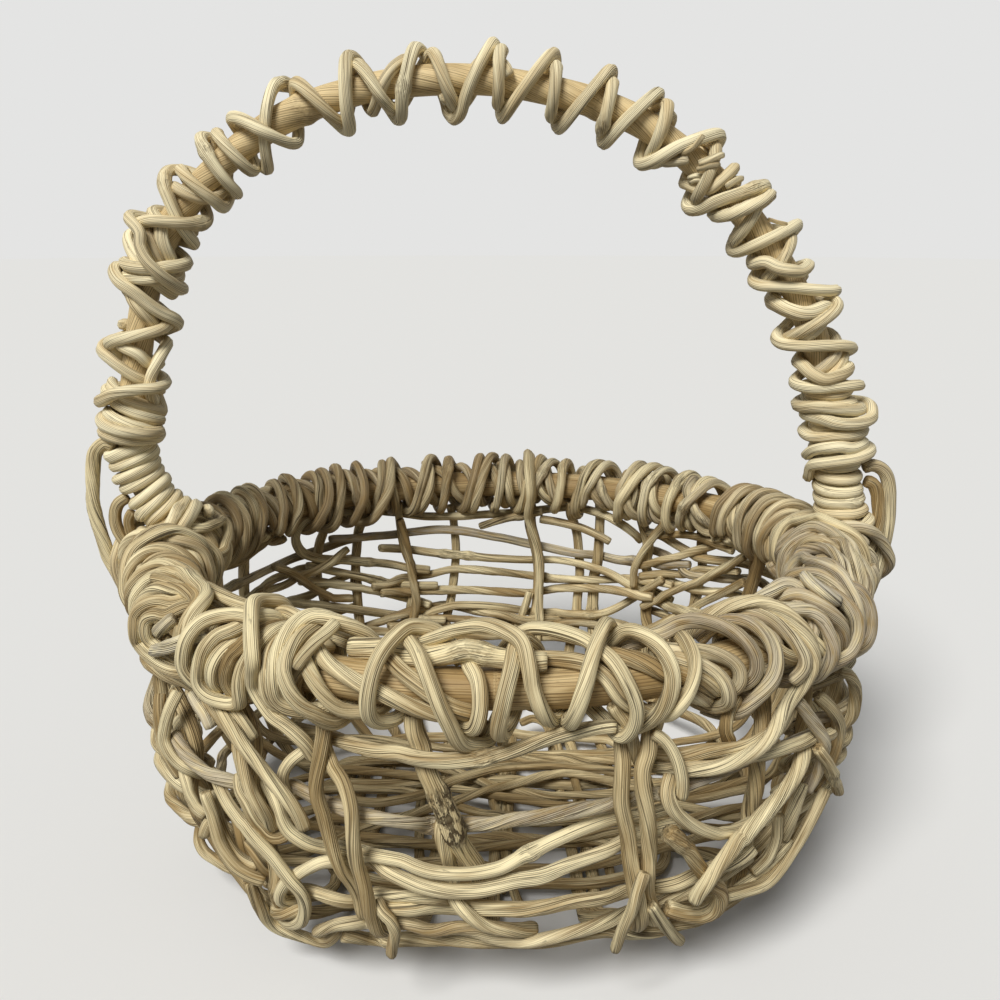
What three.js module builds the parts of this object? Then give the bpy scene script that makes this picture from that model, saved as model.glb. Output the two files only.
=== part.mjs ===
// Egg gathering basket of peeled rods and whole vines, in millimetres, +Z up.
// The origin lies on the ground under the middle of the base. X runs along the span of the
// handle, and -Y is the front. Azimuths are degrees round the basket from the front, positive
// towards +X. Levels are heights above the plane of the base ribs.
import * as THREE from 'three';

// Driving dimensions

const rimHalfWidth = 150; // centreline of the rim rod, along X
const rimHalfDepth = 137; // centreline of the rim rod, along Y
const rimHeight = 138; // centreline of the rim rod above the ground
const rimRodDiameter = 15;
const handleRodDiameter = 12;
const handleRise = 208; // crown of the handle above the rim, centreline to centreline
const handleFootDepth = 26; // how far each foot runs down below the centreline of the rim
const ribDiameter = 5.6;
const weaverDiameter = 5.4;
const bindingDiameter = 5.2; // vines bound round the rim
const handleWrapDiameter = 5.2;
const footWrapDiameter = 4.8;
const lashingDiameter = 5.2;
const earDiameter = 7;
const braceDiameter = 6;
const cornerHeight = 75; // how high the rounding from base to wall reaches
const cornerDepth = 48; // how far the base lies inside the rim
const belly = 3; // how far the upper wall swells beyond the rim
const wallSquareness = 2.3; // exponent of the oval at the base, 2 at the rim
const baseRingClearance = 3.8; // from the outermost long ribs to the ring in the base
const baseRingHalfDepth = 66;
const baseRingSquareness = 4;
const handleLoops = 20; // loops of each of the two crossed handle vines
const leftFootTurns = 7;
const rightFootTurns = 9;
const lashingTurns = 3; // turns on each side of a handle foot
const leftWrapStart = 60; // along the rod, from the end of a foot to its first close turn
const rightWrapStart = 47;
const earRise = 32; // height of the top of an ear over the first close turn
const earBow = 14; // how far the ears bow out
const seatGap = 0.3; // clearance of pieces that rest on each other
const turnGap = 0.7; // clearance of neighbouring turns of one vine
const bendGap = 1.7; // further clearance of the turns round the bent foot of the handle

// Facets

const rodSides = 8;
const ribSides = 6;
const vineSides = 5;
const loopSteps = 8;
const closeTurnSteps = 10;
const rimRodSteps = 44;
const curveDivisions = 800;
const probe = 0.1; // step to measure a slope over

// Derived sizes

const rimRodRadius = rimRodDiameter / 2;
const handleRodRadius = handleRodDiameter / 2;
const ribRadius = ribDiameter / 2;
const weaverRadius = weaverDiameter / 2;
const braceRadius = braceDiameter / 2;
const baseHeight = ribRadius * Math.cos(Math.PI / ribSides);
const wallHeight = rimHeight - baseHeight;
const weaveOffset = ribRadius + weaverRadius + seatGap;
const braceOffset =
  weaveOffset +
  weaverRadius * Math.cos(Math.PI / vineSides) +
  braceRadius * Math.cos(Math.PI / ribSides) +
  seatGap * 2;
const ringHeight = weaverRadius + seatGap;
const crossRibHeight = ringHeight + weaverRadius + ribRadius + seatGap;
const ringOverRibHeight = baseHeight + ribRadius + weaverRadius + seatGap;

const rad = THREE.MathUtils.degToRad;
const up = new THREE.Vector3(0, 0, 1);
const { lerp, smoothstep } = THREE.MathUtils;

// A solid vine or rod swept through stations. Each station has its place on the centreline and
// the direction out, which points away from what carries the vine. A side of the section faces it.
class StrandGeometry extends THREE.BufferGeometry {
  constructor(stations, radius, sides, closed = false) {
    super();
    const count = stations.length;
    const positions = [];
    const faces = [];
    stations.forEach((station, i) => {
      const before = stations[closed ? (i + count - 1) % count : Math.max(i - 1, 0)];
      const after = stations[closed ? (i + 1) % count : Math.min(i + 1, count - 1)];
      const along = after.at.clone().sub(before.at).normalize();
      const side = along.clone().cross(station.out).normalize();
      const out = side.clone().cross(along);
      for (let k = 0; k < sides; k++) {
        const turn = ((k + 0.5) / sides) * 2 * Math.PI;
        const corner = station.at.clone();
        corner.addScaledVector(out, radius * Math.cos(turn));
        corner.addScaledVector(side, radius * Math.sin(turn));
        positions.push(...corner);
      }
    });
    const lastRing = closed ? count : count - 1;
    for (let i = 0; i < lastRing; i++) {
      const here = i * sides;
      const next = ((i + 1) % count) * sides;
      for (let k = 0; k < sides; k++) {
        const l = (k + 1) % sides;
        faces.push(here + k, here + l, next + l, here + k, next + l, next + k);
      }
    }
    if (!closed) {
      const end = (count - 1) * sides;
      for (let k = 1; k < sides - 1; k++) {
        faces.push(0, k + 1, k, end, end + k, end + k + 1);
      }
    }
    this.setAttribute('position', new THREE.Float32BufferAttribute(positions, 3));
    this.setIndex(faces);
    this.computeVertexNormals();
  }
}

// Oval through the four sides; squareness 2 is an ellipse
function ovalPoint(halfWidth, halfDepth, squareness, azimuth) {
  const s = Math.sin(rad(azimuth));
  const c = Math.cos(rad(azimuth));
  const power = 2 / squareness;
  const x = halfWidth * Math.sign(s) * Math.abs(s) ** power;
  const y = -halfDepth * Math.sign(c) * Math.abs(c) ** power;
  return new THREE.Vector3(x, y, 0);
}

// Centre surface of the wall, where the ribs run

function wallInset(level) {
  if (level < cornerHeight) {
    const drop = (cornerHeight - Math.max(level, 0)) / cornerHeight;
    return cornerDepth * (1 - Math.sqrt(1 - drop * drop));
  }
  const share = Math.min((level - cornerHeight) / (wallHeight - cornerHeight), 1);
  return -belly * Math.sin(Math.PI * share);
}

function surfacePoint(azimuth, level) {
  const inset = wallInset(level);
  const square = lerp(wallSquareness, 2, smoothstep(level, cornerHeight, wallHeight));
  const point = ovalPoint(rimHalfWidth - inset, rimHalfDepth - inset, square, azimuth);
  point.z = baseHeight + level;
  return point;
}

function wallNormal(azimuth, level) {
  const low = Math.max(level - probe / 2, 0);
  const round = surfacePoint(azimuth + probe, level).sub(surfacePoint(azimuth - probe, level));
  const rise = surfacePoint(azimuth, low + probe).sub(surfacePoint(azimuth, low));
  return round.cross(rise).normalize();
}

function wallStation(azimuth, level, offset = 0) {
  const out = wallNormal(azimuth, level);
  return { at: surfacePoint(azimuth, level).addScaledVector(out, offset), out };
}

// Rim rod and its frame

function rimFrame(azimuth) {
  const at = ovalPoint(rimHalfWidth, rimHalfDepth, 2, azimuth);
  at.z = rimHeight;
  const out = new THREE.Vector3(at.x / rimHalfWidth ** 2, at.y / rimHalfDepth ** 2, 0).normalize();
  return { at, out };
}

// Place on a vine round the rim rod: turn 0 is the top, 90 the outer face, 180 the underside.
// A wider reach widens the turn outwards if it is positive, and inwards if it is negative.
function rimStation(azimuth, turn, distance, reach = 0) {
  const frame = rimFrame(azimuth);
  const out = up.clone().multiplyScalar(Math.cos(rad(turn)));
  out.addScaledVector(frame.out, Math.sin(rad(turn)));
  const at = frame.at.clone().addScaledVector(out, distance);
  at.addScaledVector(frame.out, reach * Math.max(Math.sign(reach) * Math.sin(rad(turn)), 0));
  return { at, out };
}

// Handle rod: a bent stick from foot to foot, in the plane of X and Z. The bends are shares of
// the half width of the rim and of the rise of the handle.
const handleBends = [
  [-1.053, 0.13], [-1.107, 0.245], [-1.073, 0.418], [-0.987, 0.654], [-0.847, 0.793],
  [-0.62, 0.918], [-0.373, 0.981], [-0.087, 1], [0.193, 0.971], [0.413, 0.913],
  [0.66, 0.774], [0.853, 0.601], [0.967, 0.418], [1.027, 0.236], [1.047, 0.139],
];
const footDistance = rimRodRadius + handleRodRadius + seatGap * 2;

// The left foot bends round the inner side of the rim rod, and the right one goes straight down
// its outer side, leaning in above it
const footSides = { left: -1, right: 1 };
const leftFootBend = [28, 52]; // turns round the rim rod at which the left foot lies close to it
const rightFootLean = 0.8; // share of its distance out that the right foot keeps
const footBends = {
  left: [
    [-rimHalfWidth + footDistance, -handleFootDepth],
    [-rimHalfWidth + footDistance, 0],
    ...leftFootBend.map((turn) => [
      -rimHalfWidth + (footDistance + seatGap) * Math.cos(rad(turn)),
      (footDistance + seatGap) * Math.sin(rad(turn)),
    ]),
  ],
  right: [
    [rimHalfWidth + footDistance * rightFootLean, footDistance],
    [rimHalfWidth + footDistance, 0],
    [rimHalfWidth + footDistance, -handleFootDepth],
  ],
};

const handleCurve = new THREE.CatmullRomCurve3(
  [
    ...footBends.left,
    ...handleBends.map(([across, rise]) => [across * rimHalfWidth, rise * handleRise]),
    ...footBends.right,
  ].map(([x, z]) => new THREE.Vector3(x, 0, rimHeight + z)),
);
handleCurve.arcLengthDivisions = curveDivisions;
const handleLength = handleCurve.getLength();

// Place on a vine round the handle: turn 0 is the outer side of the bow, 90 the front
function handleStation(distanceAlong, turn, distance) {
  const share = THREE.MathUtils.clamp(distanceAlong / handleLength, 0, 1);
  const along = handleCurve.getTangentAt(share);
  const bow = new THREE.Vector3(-along.z, 0, along.x);
  const out = bow.multiplyScalar(Math.cos(rad(turn)));
  out.addScaledVector(new THREE.Vector3(0, -1, 0), Math.sin(rad(turn)));
  return { at: handleCurve.getPointAt(share).addScaledVector(out, distance), out };
}

// Least gap of a vine to itself, measured between points more than half a loop apart
function printSelfGap(name, stations, diameter, steps) {
  let least = Infinity;
  const fine = [];
  for (let i = 0; i + 1 < stations.length; i++) {
    for (const share of [0, 0.25, 0.5, 0.75]) {
      fine.push(stations[i].at.clone().lerp(stations[i + 1].at, share));
    }
  }
  for (let i = 0; i < fine.length; i++) {
    for (let j = i + steps * 2; j < fine.length; j++) {
      least = Math.min(least, fine[i].distanceTo(fine[j]));
    }
  }
  console.log(`${name}: least gap to itself ${(least - diameter).toFixed(2)} mm`);
}

// Finishes

const peeledRod = { color: 0xb08a50, roughness: 0.45 };
const paleVine = { color: 0xc9b184, roughness: 0.7 };
const strawVine = { color: 0xbda474, roughness: 0.72 };
const tanVine = { color: 0xa88d60, roughness: 0.75 };
const greyVine = { color: 0x9c8f78, roughness: 0.8 };

const basket = new THREE.Group();
basket.name = 'egg_gathering_basket';

function addPiece(name, geometry, finish) {
  const material = new THREE.MeshStandardMaterial({ ...finish, metalness: 0 });
  const mesh = new THREE.Mesh(geometry, material);
  mesh.name = name;
  basket.add(mesh);
}

// Rods

function addRods() {
  const rim = [];
  for (let i = 0; i < rimRodSteps; i++) {
    rim.push(rimFrame((i / rimRodSteps) * 360));
  }
  addPiece('rim_rod', new StrandGeometry(rim, rimRodRadius, rodSides, true), peeledRod);
  const stick = [];
  const steps = (handleCurve.points.length - 1) * 2;
  for (let i = 0; i <= steps; i++) {
    const along = handleCurve.getTangent(i / steps);
    stick.push({ at: handleCurve.getPoint(i / steps), out: new THREE.Vector3(-along.z, 0, along.x) });
  }
  addPiece('handle_rod', new StrandGeometry(stick, handleRodRadius, rodSides), peeledRod);
}

// Ribs: each goes down one wall, across the base and up the other wall. An end is its azimuth at
// the rim, half way up and at the base.
const longRibs = {
  rib_long_1: { front: [-51, -49, -39], back: [224, 224, 221] },
  rib_long_2: { front: [-37, -35, -30], back: [211, 211, 211] },
  rib_long_3: { front: [-26, -22.5, -18], back: [198, 200, 202] },
  rib_long_4: { front: [-20.5, -17, -12], back: [188, 190, 193] },
  rib_long_5: { front: [-9, -6, -2], back: [172, 174, 178] },
  rib_long_6: { front: [15, 16.5, 15], back: [163, 164, 166] },
  rib_long_7: { front: [20.5, 21.5, 21], back: [157, 158, 159.5] },
  rib_long_8: { front: [36, 35, 32], back: [146, 147, 149] },
  rib_long_9: { front: [50, 48, 39], back: [132, 134, 140] },
};
const crossRibs = {
  rib_cross_1: { front: [-66, -66, -70], back: [66, 66, 70] },
  rib_cross_2: { front: [-82, -82, -82], back: [82, 82, 82], lashed: true },
  rib_cross_3: { front: [-98, -98, -98], back: [98, 98, 98], lashed: true },
  rib_cross_4: { front: [-117, -116, -112], back: [117, 116, 112] },
};
const ribTop = rimHeight - rimRodRadius - seatGap - baseHeight;
const lashedRibTop = ribTop - lashingDiameter - seatGap * 3;
const ribEnds = Object.values(longRibs).flatMap(({ front, back }) => [front, back]);
const outermostRib = Math.max(...ribEnds.map((end) => Math.abs(surfacePoint(end[2], 0).x)));
const baseRingHalfWidth = outermostRib + ribRadius + weaverRadius + baseRingClearance;
const cornerTurns = [0, 18, 34, 48, 60, 70, 80];
const wallShares = [0.3, 0.65, 1];

function ribAzimuth([top, middle, low], level) {
  const h = level / wallHeight;
  return low * (1 - h) * (1 - 2 * h) + middle * 4 * h * (1 - h) + top * h * (2 * h - 1);
}

// Stations of one end of a rib, from its top down to the last one before the base
function ribEnd(end, top) {
  const levels = wallShares.map((share) => lerp(cornerHeight, top, share)).reverse();
  for (const turn of cornerTurns) {
    levels.push(cornerHeight * (1 - Math.sin(rad(turn))));
  }
  return levels.map((level) => wallStation(ribAzimuth(end, level), level));
}

function baseStation(from, to, share, height) {
  const at = from.clone().lerp(to, share);
  at.z = height;
  return { at, out: up.clone().negate() };
}

function addRibs() {
  for (const [name, { front, back }] of Object.entries(longRibs)) {
    const from = surfacePoint(front[2], 0);
    const to = surfacePoint(back[2], 0);
    const stations = [
      ...ribEnd(front, ribTop),
      baseStation(from, to, 0, baseHeight),
      baseStation(from, to, 1, baseHeight),
      ...ribEnd(back, ribTop).reverse(),
    ];
    addPiece(name, new StrandGeometry(stations, ribRadius, ribSides), strawVine);
  }
  for (const [name, { front, back, lashed }] of Object.entries(crossRibs)) {
    const from = surfacePoint(front[2], 0);
    const to = surfacePoint(back[2], 0);
    const climb = (Math.abs(from.x) - baseRingHalfWidth - weaverRadius - seatGap) / (to.x - from.x);
    const top = lashed ? lashedRibTop : ribTop;
    const stations = [
      ...ribEnd(front, top),
      baseStation(from, to, 0, baseHeight),
      baseStation(from, to, climb, crossRibHeight),
      baseStation(from, to, 1 - climb, crossRibHeight),
      baseStation(from, to, 1, baseHeight),
      ...ribEnd(back, top).reverse(),
    ];
    addPiece(name, new StrandGeometry(stations, ribRadius, ribSides), tanVine);
  }
}

// Posts: the ribs, or pairs of ribs, that the weavers go round, in order round the basket from
// the left side
const posts = [
  [crossRibs.rib_cross_2.front], [crossRibs.rib_cross_1.front], [longRibs.rib_long_1.front],
  [longRibs.rib_long_2.front], [longRibs.rib_long_3.front, longRibs.rib_long_4.front],
  [longRibs.rib_long_5.front], [longRibs.rib_long_6.front, longRibs.rib_long_7.front],
  [longRibs.rib_long_8.front], [longRibs.rib_long_9.front], [crossRibs.rib_cross_1.back],
  [crossRibs.rib_cross_2.back], [crossRibs.rib_cross_3.back], [crossRibs.rib_cross_4.back],
  [longRibs.rib_long_9.back], [longRibs.rib_long_8.back],
  [longRibs.rib_long_7.back, longRibs.rib_long_6.back], [longRibs.rib_long_5.back],
  [longRibs.rib_long_4.back], [longRibs.rib_long_3.back], [longRibs.rib_long_2.back],
  [longRibs.rib_long_1.back], [crossRibs.rib_cross_4.front.map((a) => a + 360)],
  [crossRibs.rib_cross_3.front.map((a) => a + 360)],
];

// Side on which the weavers pass each post, outside or inside. The two vines above the base
// that hold the others in place pass on the other side.
const passes = 'ioioioioioiooioioioioio';
const lockingRows = [6, 8];

// Weavers: one vine round the basket in each row, whose end lies above its beginning. The lists
// give the azimuth and the level of the row, as a share of the height of the wall.
const rows = [
  [[-90, 0.785], [-22, 0.81], [-6, 0.8], [17, 0.81], [64, 0.815], [146, 0.81], [200, 0.82],
    [262, 0.815], [285, 0.84]],
  [[-90, 0.665], [-60, 0.63], [-22, 0.66], [-6, 0.64], [17, 0.67], [47, 0.73], [90, 0.73],
    [146, 0.7], [190, 0.74], [235, 0.73], [262, 0.7], [285, 0.72]],
  [[-90, 0.555], [-60, 0.52], [-22, 0.49], [-6, 0.475], [17, 0.585], [47, 0.61], [90, 0.62],
    [146, 0.61], [190, 0.645], [235, 0.63], [262, 0.59], [285, 0.61]],
  [[-90, 0.445], [-60, 0.42], [-22, 0.435], [-6, 0.415], [17, 0.495], [47, 0.52], [90, 0.53],
    [146, 0.54], [190, 0.565], [235, 0.53], [262, 0.48], [285, 0.5]],
  [[-90, 0.345], [-60, 0.335], [-22, 0.335], [-6, 0.34], [17, 0.365], [47, 0.41], [90, 0.435],
    [146, 0.47], [190, 0.485], [235, 0.43], [262, 0.38], [285, 0.395]],
  [[-90, 0.245], [-60, 0.24], [-22, 0.25], [-6, 0.26], [17, 0.255], [47, 0.29], [90, 0.32],
    [146, 0.38], [190, 0.4], [235, 0.33], [262, 0.28], [285, 0.295]],
  [[-90, 0.15], [-60, 0.15], [-22, 0.165], [-6, 0.185], [17, 0.165], [47, 0.18], [90, 0.205],
    [146, 0.27], [190, 0.295], [235, 0.22], [262, 0.18], [285, 0.2]],
  [[-90, 0.065], [-22, 0.075], [17, 0.07], [90, 0.085], [146, 0.13], [190, 0.14], [262, 0.09],
    [285, 0.105]],
];

function rowLevel(row, azimuth) {
  const last = row.length - 1;
  const i = Math.min(Math.max(row.findIndex(([a]) => a > azimuth), 1), last);
  const [fromAzimuth, from] = row[i - 1];
  const [toAzimuth, to] = row[i];
  const share = THREE.MathUtils.clamp((azimuth - fromAzimuth) / (toAzimuth - fromAzimuth), 0, 1);
  return wallHeight * lerp(from, to, smoothstep(share, 0, 1));
}

function addWeavers() {
  const round = [...posts, posts[0].map((end) => end.map((azimuth) => azimuth + 360))];
  rows.forEach((row, index) => {
    const number = index + 1;
    const stations = [];
    round.forEach((post, i) => {
      const guess = rowLevel(row, post[0][1]);
      const places = post.map((end) => ribAzimuth(end, guess));
      const outside = passes[i % posts.length] === 'o';
      const side = outside === lockingRows.includes(number) ? -1 : 1;
      const level = rowLevel(row, (places[0] + places.at(-1)) / 2);
      const girth = (rimHalfWidth + rimHalfDepth) / 2 - wallInset(level);
      const reach = THREE.MathUtils.radToDeg((ribRadius + seatGap) / girth);
      for (const azimuth of [Math.min(...places) - reach, Math.max(...places) + reach]) {
        stations.push(wallStation(azimuth, rowLevel(row, azimuth), side * weaveOffset));
      }
    });
    const finish = number % 2 ? strawVine : paleVine;
    const geometry = new StrandGeometry(stations, weaverRadius, vineSides);
    addPiece(`weaver_row_${number}`, geometry, finish);
  });
}

// Ring in the base: under the cross ribs at the sides, over the long ribs at front and back
function addBaseRing() {
  const stations = [];
  const ringSteps = 48;
  const outermostCross = Math.abs(surfacePoint(crossRibs.rib_cross_4.back[2], 0).y);
  const climbFrom = outermostCross + ribRadius + weaverRadius;
  const climbTo = climbFrom + weaverDiameter;
  for (let i = 0; i < ringSteps; i++) {
    const azimuth = (i / ringSteps) * 360;
    const at = ovalPoint(baseRingHalfWidth, baseRingHalfDepth, baseRingSquareness, azimuth);
    at.z = lerp(ringHeight, ringOverRibHeight, smoothstep(Math.abs(at.y), climbFrom, climbTo));
    stations.push({ at, out: up.clone() });
  }
  addPiece('base_ring', new StrandGeometry(stations, weaverRadius, vineSides, true), tanVine);
}

// A crossing vine is lifted where it meets the first one, at the top of a turn and under it
const crossingWidth = 1.6; // 1 lifts it at one point only
function crossingRise(turn, lift) {
  return lift * Math.min(crossingWidth * Math.cos(rad(turn)) ** 2, 1);
}

// Reaches of vines wound in close turns, so that their flat facets clear what they go round
const facetedTurn = Math.cos(Math.PI / closeTurnSteps);
const footReach = (handleRodDiameter + seatGap * 3) / facetedTurn;

// Rim bindings: a vine goes over the rim at each post and under it between two posts, and a
// second one goes round the other way over it
function addRimBindings() {
  const reach = (rimRodRadius + bindingDiameter / 2 + seatGap) / Math.cos(Math.PI / loopSteps);
  const over = bindingDiameter + seatGap;
  const centres = posts.map((post) => post.reduce((sum, end) => sum + end[0], 0) / post.length);
  const stretches = {
    front: centres.slice(1, 10),
    back: centres.slice(12, 22),
  };
  for (const [place, tops] of Object.entries(stretches)) {
    for (const [kind, hand, lift] of [['binding', 1, 0], ['crossing', -1, over]]) {
      const stations = [];
      for (let i = 0; i <= (tops.length - 1) * loopSteps; i++) {
        const loop = Math.min(Math.floor(i / loopSteps), tops.length - 2);
        const share = i / loopSteps - loop;
        const turn = hand * 360 * share;
        const azimuth = lerp(tops[loop], tops[loop + 1], share);
        stations.push(rimStation(azimuth, turn, reach + crossingRise(turn, lift)));
      }
      const name = `rim_${kind}_${place}`;
      const geometry = new StrandGeometry(stations, bindingDiameter / 2, vineSides);
      addPiece(name, geometry, hand > 0 ? paleVine : strawVine);
      printSelfGap(name, stations, bindingDiameter, loopSteps);
    }
  }
}

// Handle wraps: two vines of opposite hand that cross over the bow and under it, and close
// turns round each foot
function addHandleWraps() {
  const pitch = footWrapDiameter + turnGap + bendGap;
  const closeReach = (handleRodRadius + footWrapDiameter / 2 + seatGap) / facetedTurn;
  const feet = [
    ['left', leftFootTurns, (wound) => leftWrapStart + wound * pitch],
    ['right', rightFootTurns, (wound) => handleLength - rightWrapStart - wound * pitch],
  ];
  for (const [place, turns, distanceAt] of feet) {
    const stations = [];
    for (let i = 0; i <= turns * closeTurnSteps; i++) {
      const wound = i / closeTurnSteps;
      stations.push(handleStation(distanceAt(wound), wound * 360 + 180, closeReach));
    }
    const name = `foot_wrap_${place}`;
    const geometry = new StrandGeometry(stations, footWrapDiameter / 2, vineSides);
    addPiece(name, geometry, tanVine);
    printSelfGap(name, stations, footWrapDiameter, closeTurnSteps);
  }
  const margin = footWrapDiameter + handleWrapDiameter;
  const start = leftWrapStart + leftFootTurns * pitch + margin;
  const end = handleLength - rightWrapStart - rightFootTurns * pitch - margin;
  const reach = (handleRodRadius + handleWrapDiameter / 2 + seatGap) / Math.cos(Math.PI / loopSteps);
  const over = handleWrapDiameter + seatGap * 3;
  for (const [name, hand, lift] of [['handle_wrap', 1, 0], ['handle_crossing', -1, over]]) {
    const stations = [];
    const steps = handleLoops * loopSteps;
    for (let i = 0; i <= steps; i++) {
      const turn = (hand * 360 * i) / loopSteps;
      const rise = crossingRise(turn, lift);
      stations.push(handleStation(lerp(start, end, i / steps), turn, reach + rise));
    }
    const geometry = new StrandGeometry(stations, handleWrapDiameter / 2, vineSides);
    addPiece(name, geometry, hand > 0 ? paleVine : strawVine);
    printSelfGap(name, stations, handleWrapDiameter, loopSteps);
  }
}

// Lashings: close turns round the rim on both sides of each handle foot, joined by one pass
// across the outer face, and wide enough by the foot to hold it
const lashingPass = { from: 0.2, to: 0.3 }; // share of a turn in which it passes the foot

function addLashings() {
  const radius = lashingDiameter / 2;
  const reach = (rimRodRadius + radius + seatGap) / facetedTurn;
  const nearest = handleRodRadius + radius + seatGap * 2;
  const rimBend = rimHalfDepth ** 2 / rimHalfWidth; // radius of the rim's bend at its sides
  const steps = lashingTurns * closeTurnSteps;
  for (const [place, azimuth] of [['left', -90], ['right', 90]]) {
    const stations = [];
    const innerReach = reach + Math.max(-footSides[place] * footReach, 0);
    const pitch = (lashingDiameter + turnGap) / (1 - innerReach / rimBend);
    const addStation = (across, turn) => {
      const spread = Math.sign(azimuth) * THREE.MathUtils.radToDeg(across / rimHalfDepth);
      const near = 1 - smoothstep(Math.abs(across), nearest + pitch, nearest + pitch * lashingTurns);
      stations.push(rimStation(azimuth + spread, turn, reach, footSides[place] * footReach * near));
    };
    for (let i = -steps; i <= steps + closeTurnSteps; i++) {
      const wound = i / closeTurnSteps;
      const before = Math.max(lashingPass.from - wound, 0);
      const after = Math.max(wound - lashingPass.to, 0);
      const across = lerp(-nearest, nearest, smoothstep(wound, lashingPass.from, lashingPass.to));
      addStation(across + pitch * (after - before), wound * 360);
    }
    const name = `lashing_${place}`;
    addPiece(name, new StrandGeometry(stations, radius, vineSides), greyVine);
    printSelfGap(name, stations, lashingDiameter, closeTurnSteps);
  }
}

// Ears: a thick vine that bows out from the close turns of a foot down to the lashing
function addEars() {
  const radius = earDiameter / 2;
  const earSteps = 10;
  const wrapReach = (handleRodRadius + footWrapDiameter + seatGap * 2) / facetedTurn + seatGap;
  const lashingReach = (rimRodRadius + lashingDiameter + seatGap) / facetedTurn + seatGap;
  const tops = [
    ['left', -1, leftWrapStart + earRise],
    ['right', 1, handleLength - rightWrapStart - earRise],
  ];
  for (const [place, side, distance] of tops) {
    const head = handleStation(distance, 0, wrapReach).at;
    const tailReach = lashingReach + Math.max(side * footSides[place] * footReach, 0);
    const tail = new THREE.Vector3(side * (rimHalfWidth + tailReach), 0, rimHeight);
    const bow = new THREE.Vector3(side * earBow, 0, radius);
    const curve = new THREE.CubicBezierCurve3(
      head,
      head.clone().add(bow),
      tail.clone().add(bow).setZ(rimHeight - radius),
      tail,
    );
    const stations = [];
    for (let i = 0; i <= earSteps; i++) {
      const along = curve.getTangent(i / earSteps);
      stations.push({ at: curve.getPoint(i / earSteps), out: new THREE.Vector3(0, -1, 0).cross(along) });
    }
    addPiece(`ear_${place}`, new StrandGeometry(stations, radius, ribSides), paleVine);
  }
}

// Short vines laid over the weavers, which brace the wall; the last one hangs down in a loop
const outerVines = {
  brace_left: [[-50, 0.76], [-44, 0.71], [-38, 0.65], [-32, 0.59], [-27, 0.54]],
  brace_right: [[28, 0.33], [36, 0.4], [44, 0.47], [52, 0.54], [60, 0.61]],
  loop_vine: [
    [20.5, 0.81], [23, 0.76], [23.5, 0.7], [22, 0.64], [22.5, 0.58], [25.5, 0.53], [30, 0.505],
    [35, 0.49],
  ],
};

function addOuterVines() {
  for (const [name, places] of Object.entries(outerVines)) {
    const stations = places.map(([azimuth, share]) => {
      return wallStation(azimuth, share * wallHeight, braceOffset);
    });
    addPiece(name, new StrandGeometry(stations, braceRadius, ribSides), paleVine);
  }
}

addRods();
addRibs();
addWeavers();
addBaseRing();
addRimBindings();
addHandleWraps();
addLashings();
addEars();
addOuterVines();

export default basket;
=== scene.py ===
# Egg gathering basket woven of whole vines round peeled rods.
# Lengths in the settings below are millimetres and angles are degrees; meshes are made in metres.
# Azimuth goes round the basket from the front, positive towards +X.
import math
from functools import partial

import bpy
import numpy as np
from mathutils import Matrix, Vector
from mathutils.kdtree import KDTree


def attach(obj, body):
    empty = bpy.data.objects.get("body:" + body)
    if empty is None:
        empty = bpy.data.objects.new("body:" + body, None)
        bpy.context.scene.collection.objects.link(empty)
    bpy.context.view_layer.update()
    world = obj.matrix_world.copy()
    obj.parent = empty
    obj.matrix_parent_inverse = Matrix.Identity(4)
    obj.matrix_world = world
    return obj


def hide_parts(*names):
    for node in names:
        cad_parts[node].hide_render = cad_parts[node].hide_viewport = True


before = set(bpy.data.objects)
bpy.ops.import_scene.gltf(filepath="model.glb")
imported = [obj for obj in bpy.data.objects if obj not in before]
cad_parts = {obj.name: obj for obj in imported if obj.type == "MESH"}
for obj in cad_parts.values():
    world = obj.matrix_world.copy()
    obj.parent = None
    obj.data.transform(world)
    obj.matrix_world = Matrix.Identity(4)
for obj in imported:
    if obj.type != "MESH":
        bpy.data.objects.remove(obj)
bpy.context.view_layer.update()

mm = 0.001
rng = np.random.default_rng(7)

basket = {
    "rimHalfWidth": 150,
    "rimHalfDepth": 137,
    "rimHeight": 138,
    "rimRodRadius": 7.5,
    "handleRodRadius": 6,
    "handleRise": 208,
    "handleFootDepth": 26,
    "ribRadius": 2.8,
    "vineRadius": 2.7,
    "cornerHeight": 75,
    "cornerDepth": 48,
    "belly": 3,
    "wallSquareness": 2.3,
    "layer": 5.5,          # from one layer of vines to the next
    "ground": 1.0,
}
baseHeight = basket["ribRadius"] * math.cos(math.pi / 6)
wallHeight = basket["rimHeight"] - baseHeight


def bent(tone, *points, **more):
    # A listed vine: its tone, its points, and what else sets it apart
    return {"tone": tone, "points": points, **more}


# Lines in space

def unit(vectors):
    return vectors / np.linalg.norm(vectors, axis=-1, keepdims=True)


def lengthsAlong(line):
    return np.concatenate([[0], np.cumsum(np.linalg.norm(np.diff(line, axis=0), axis=1))])


def pointsAlong(line, lengths, at):
    return np.stack([np.interp(at, lengths, line[:, k]) for k in range(3)], axis=1)


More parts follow.
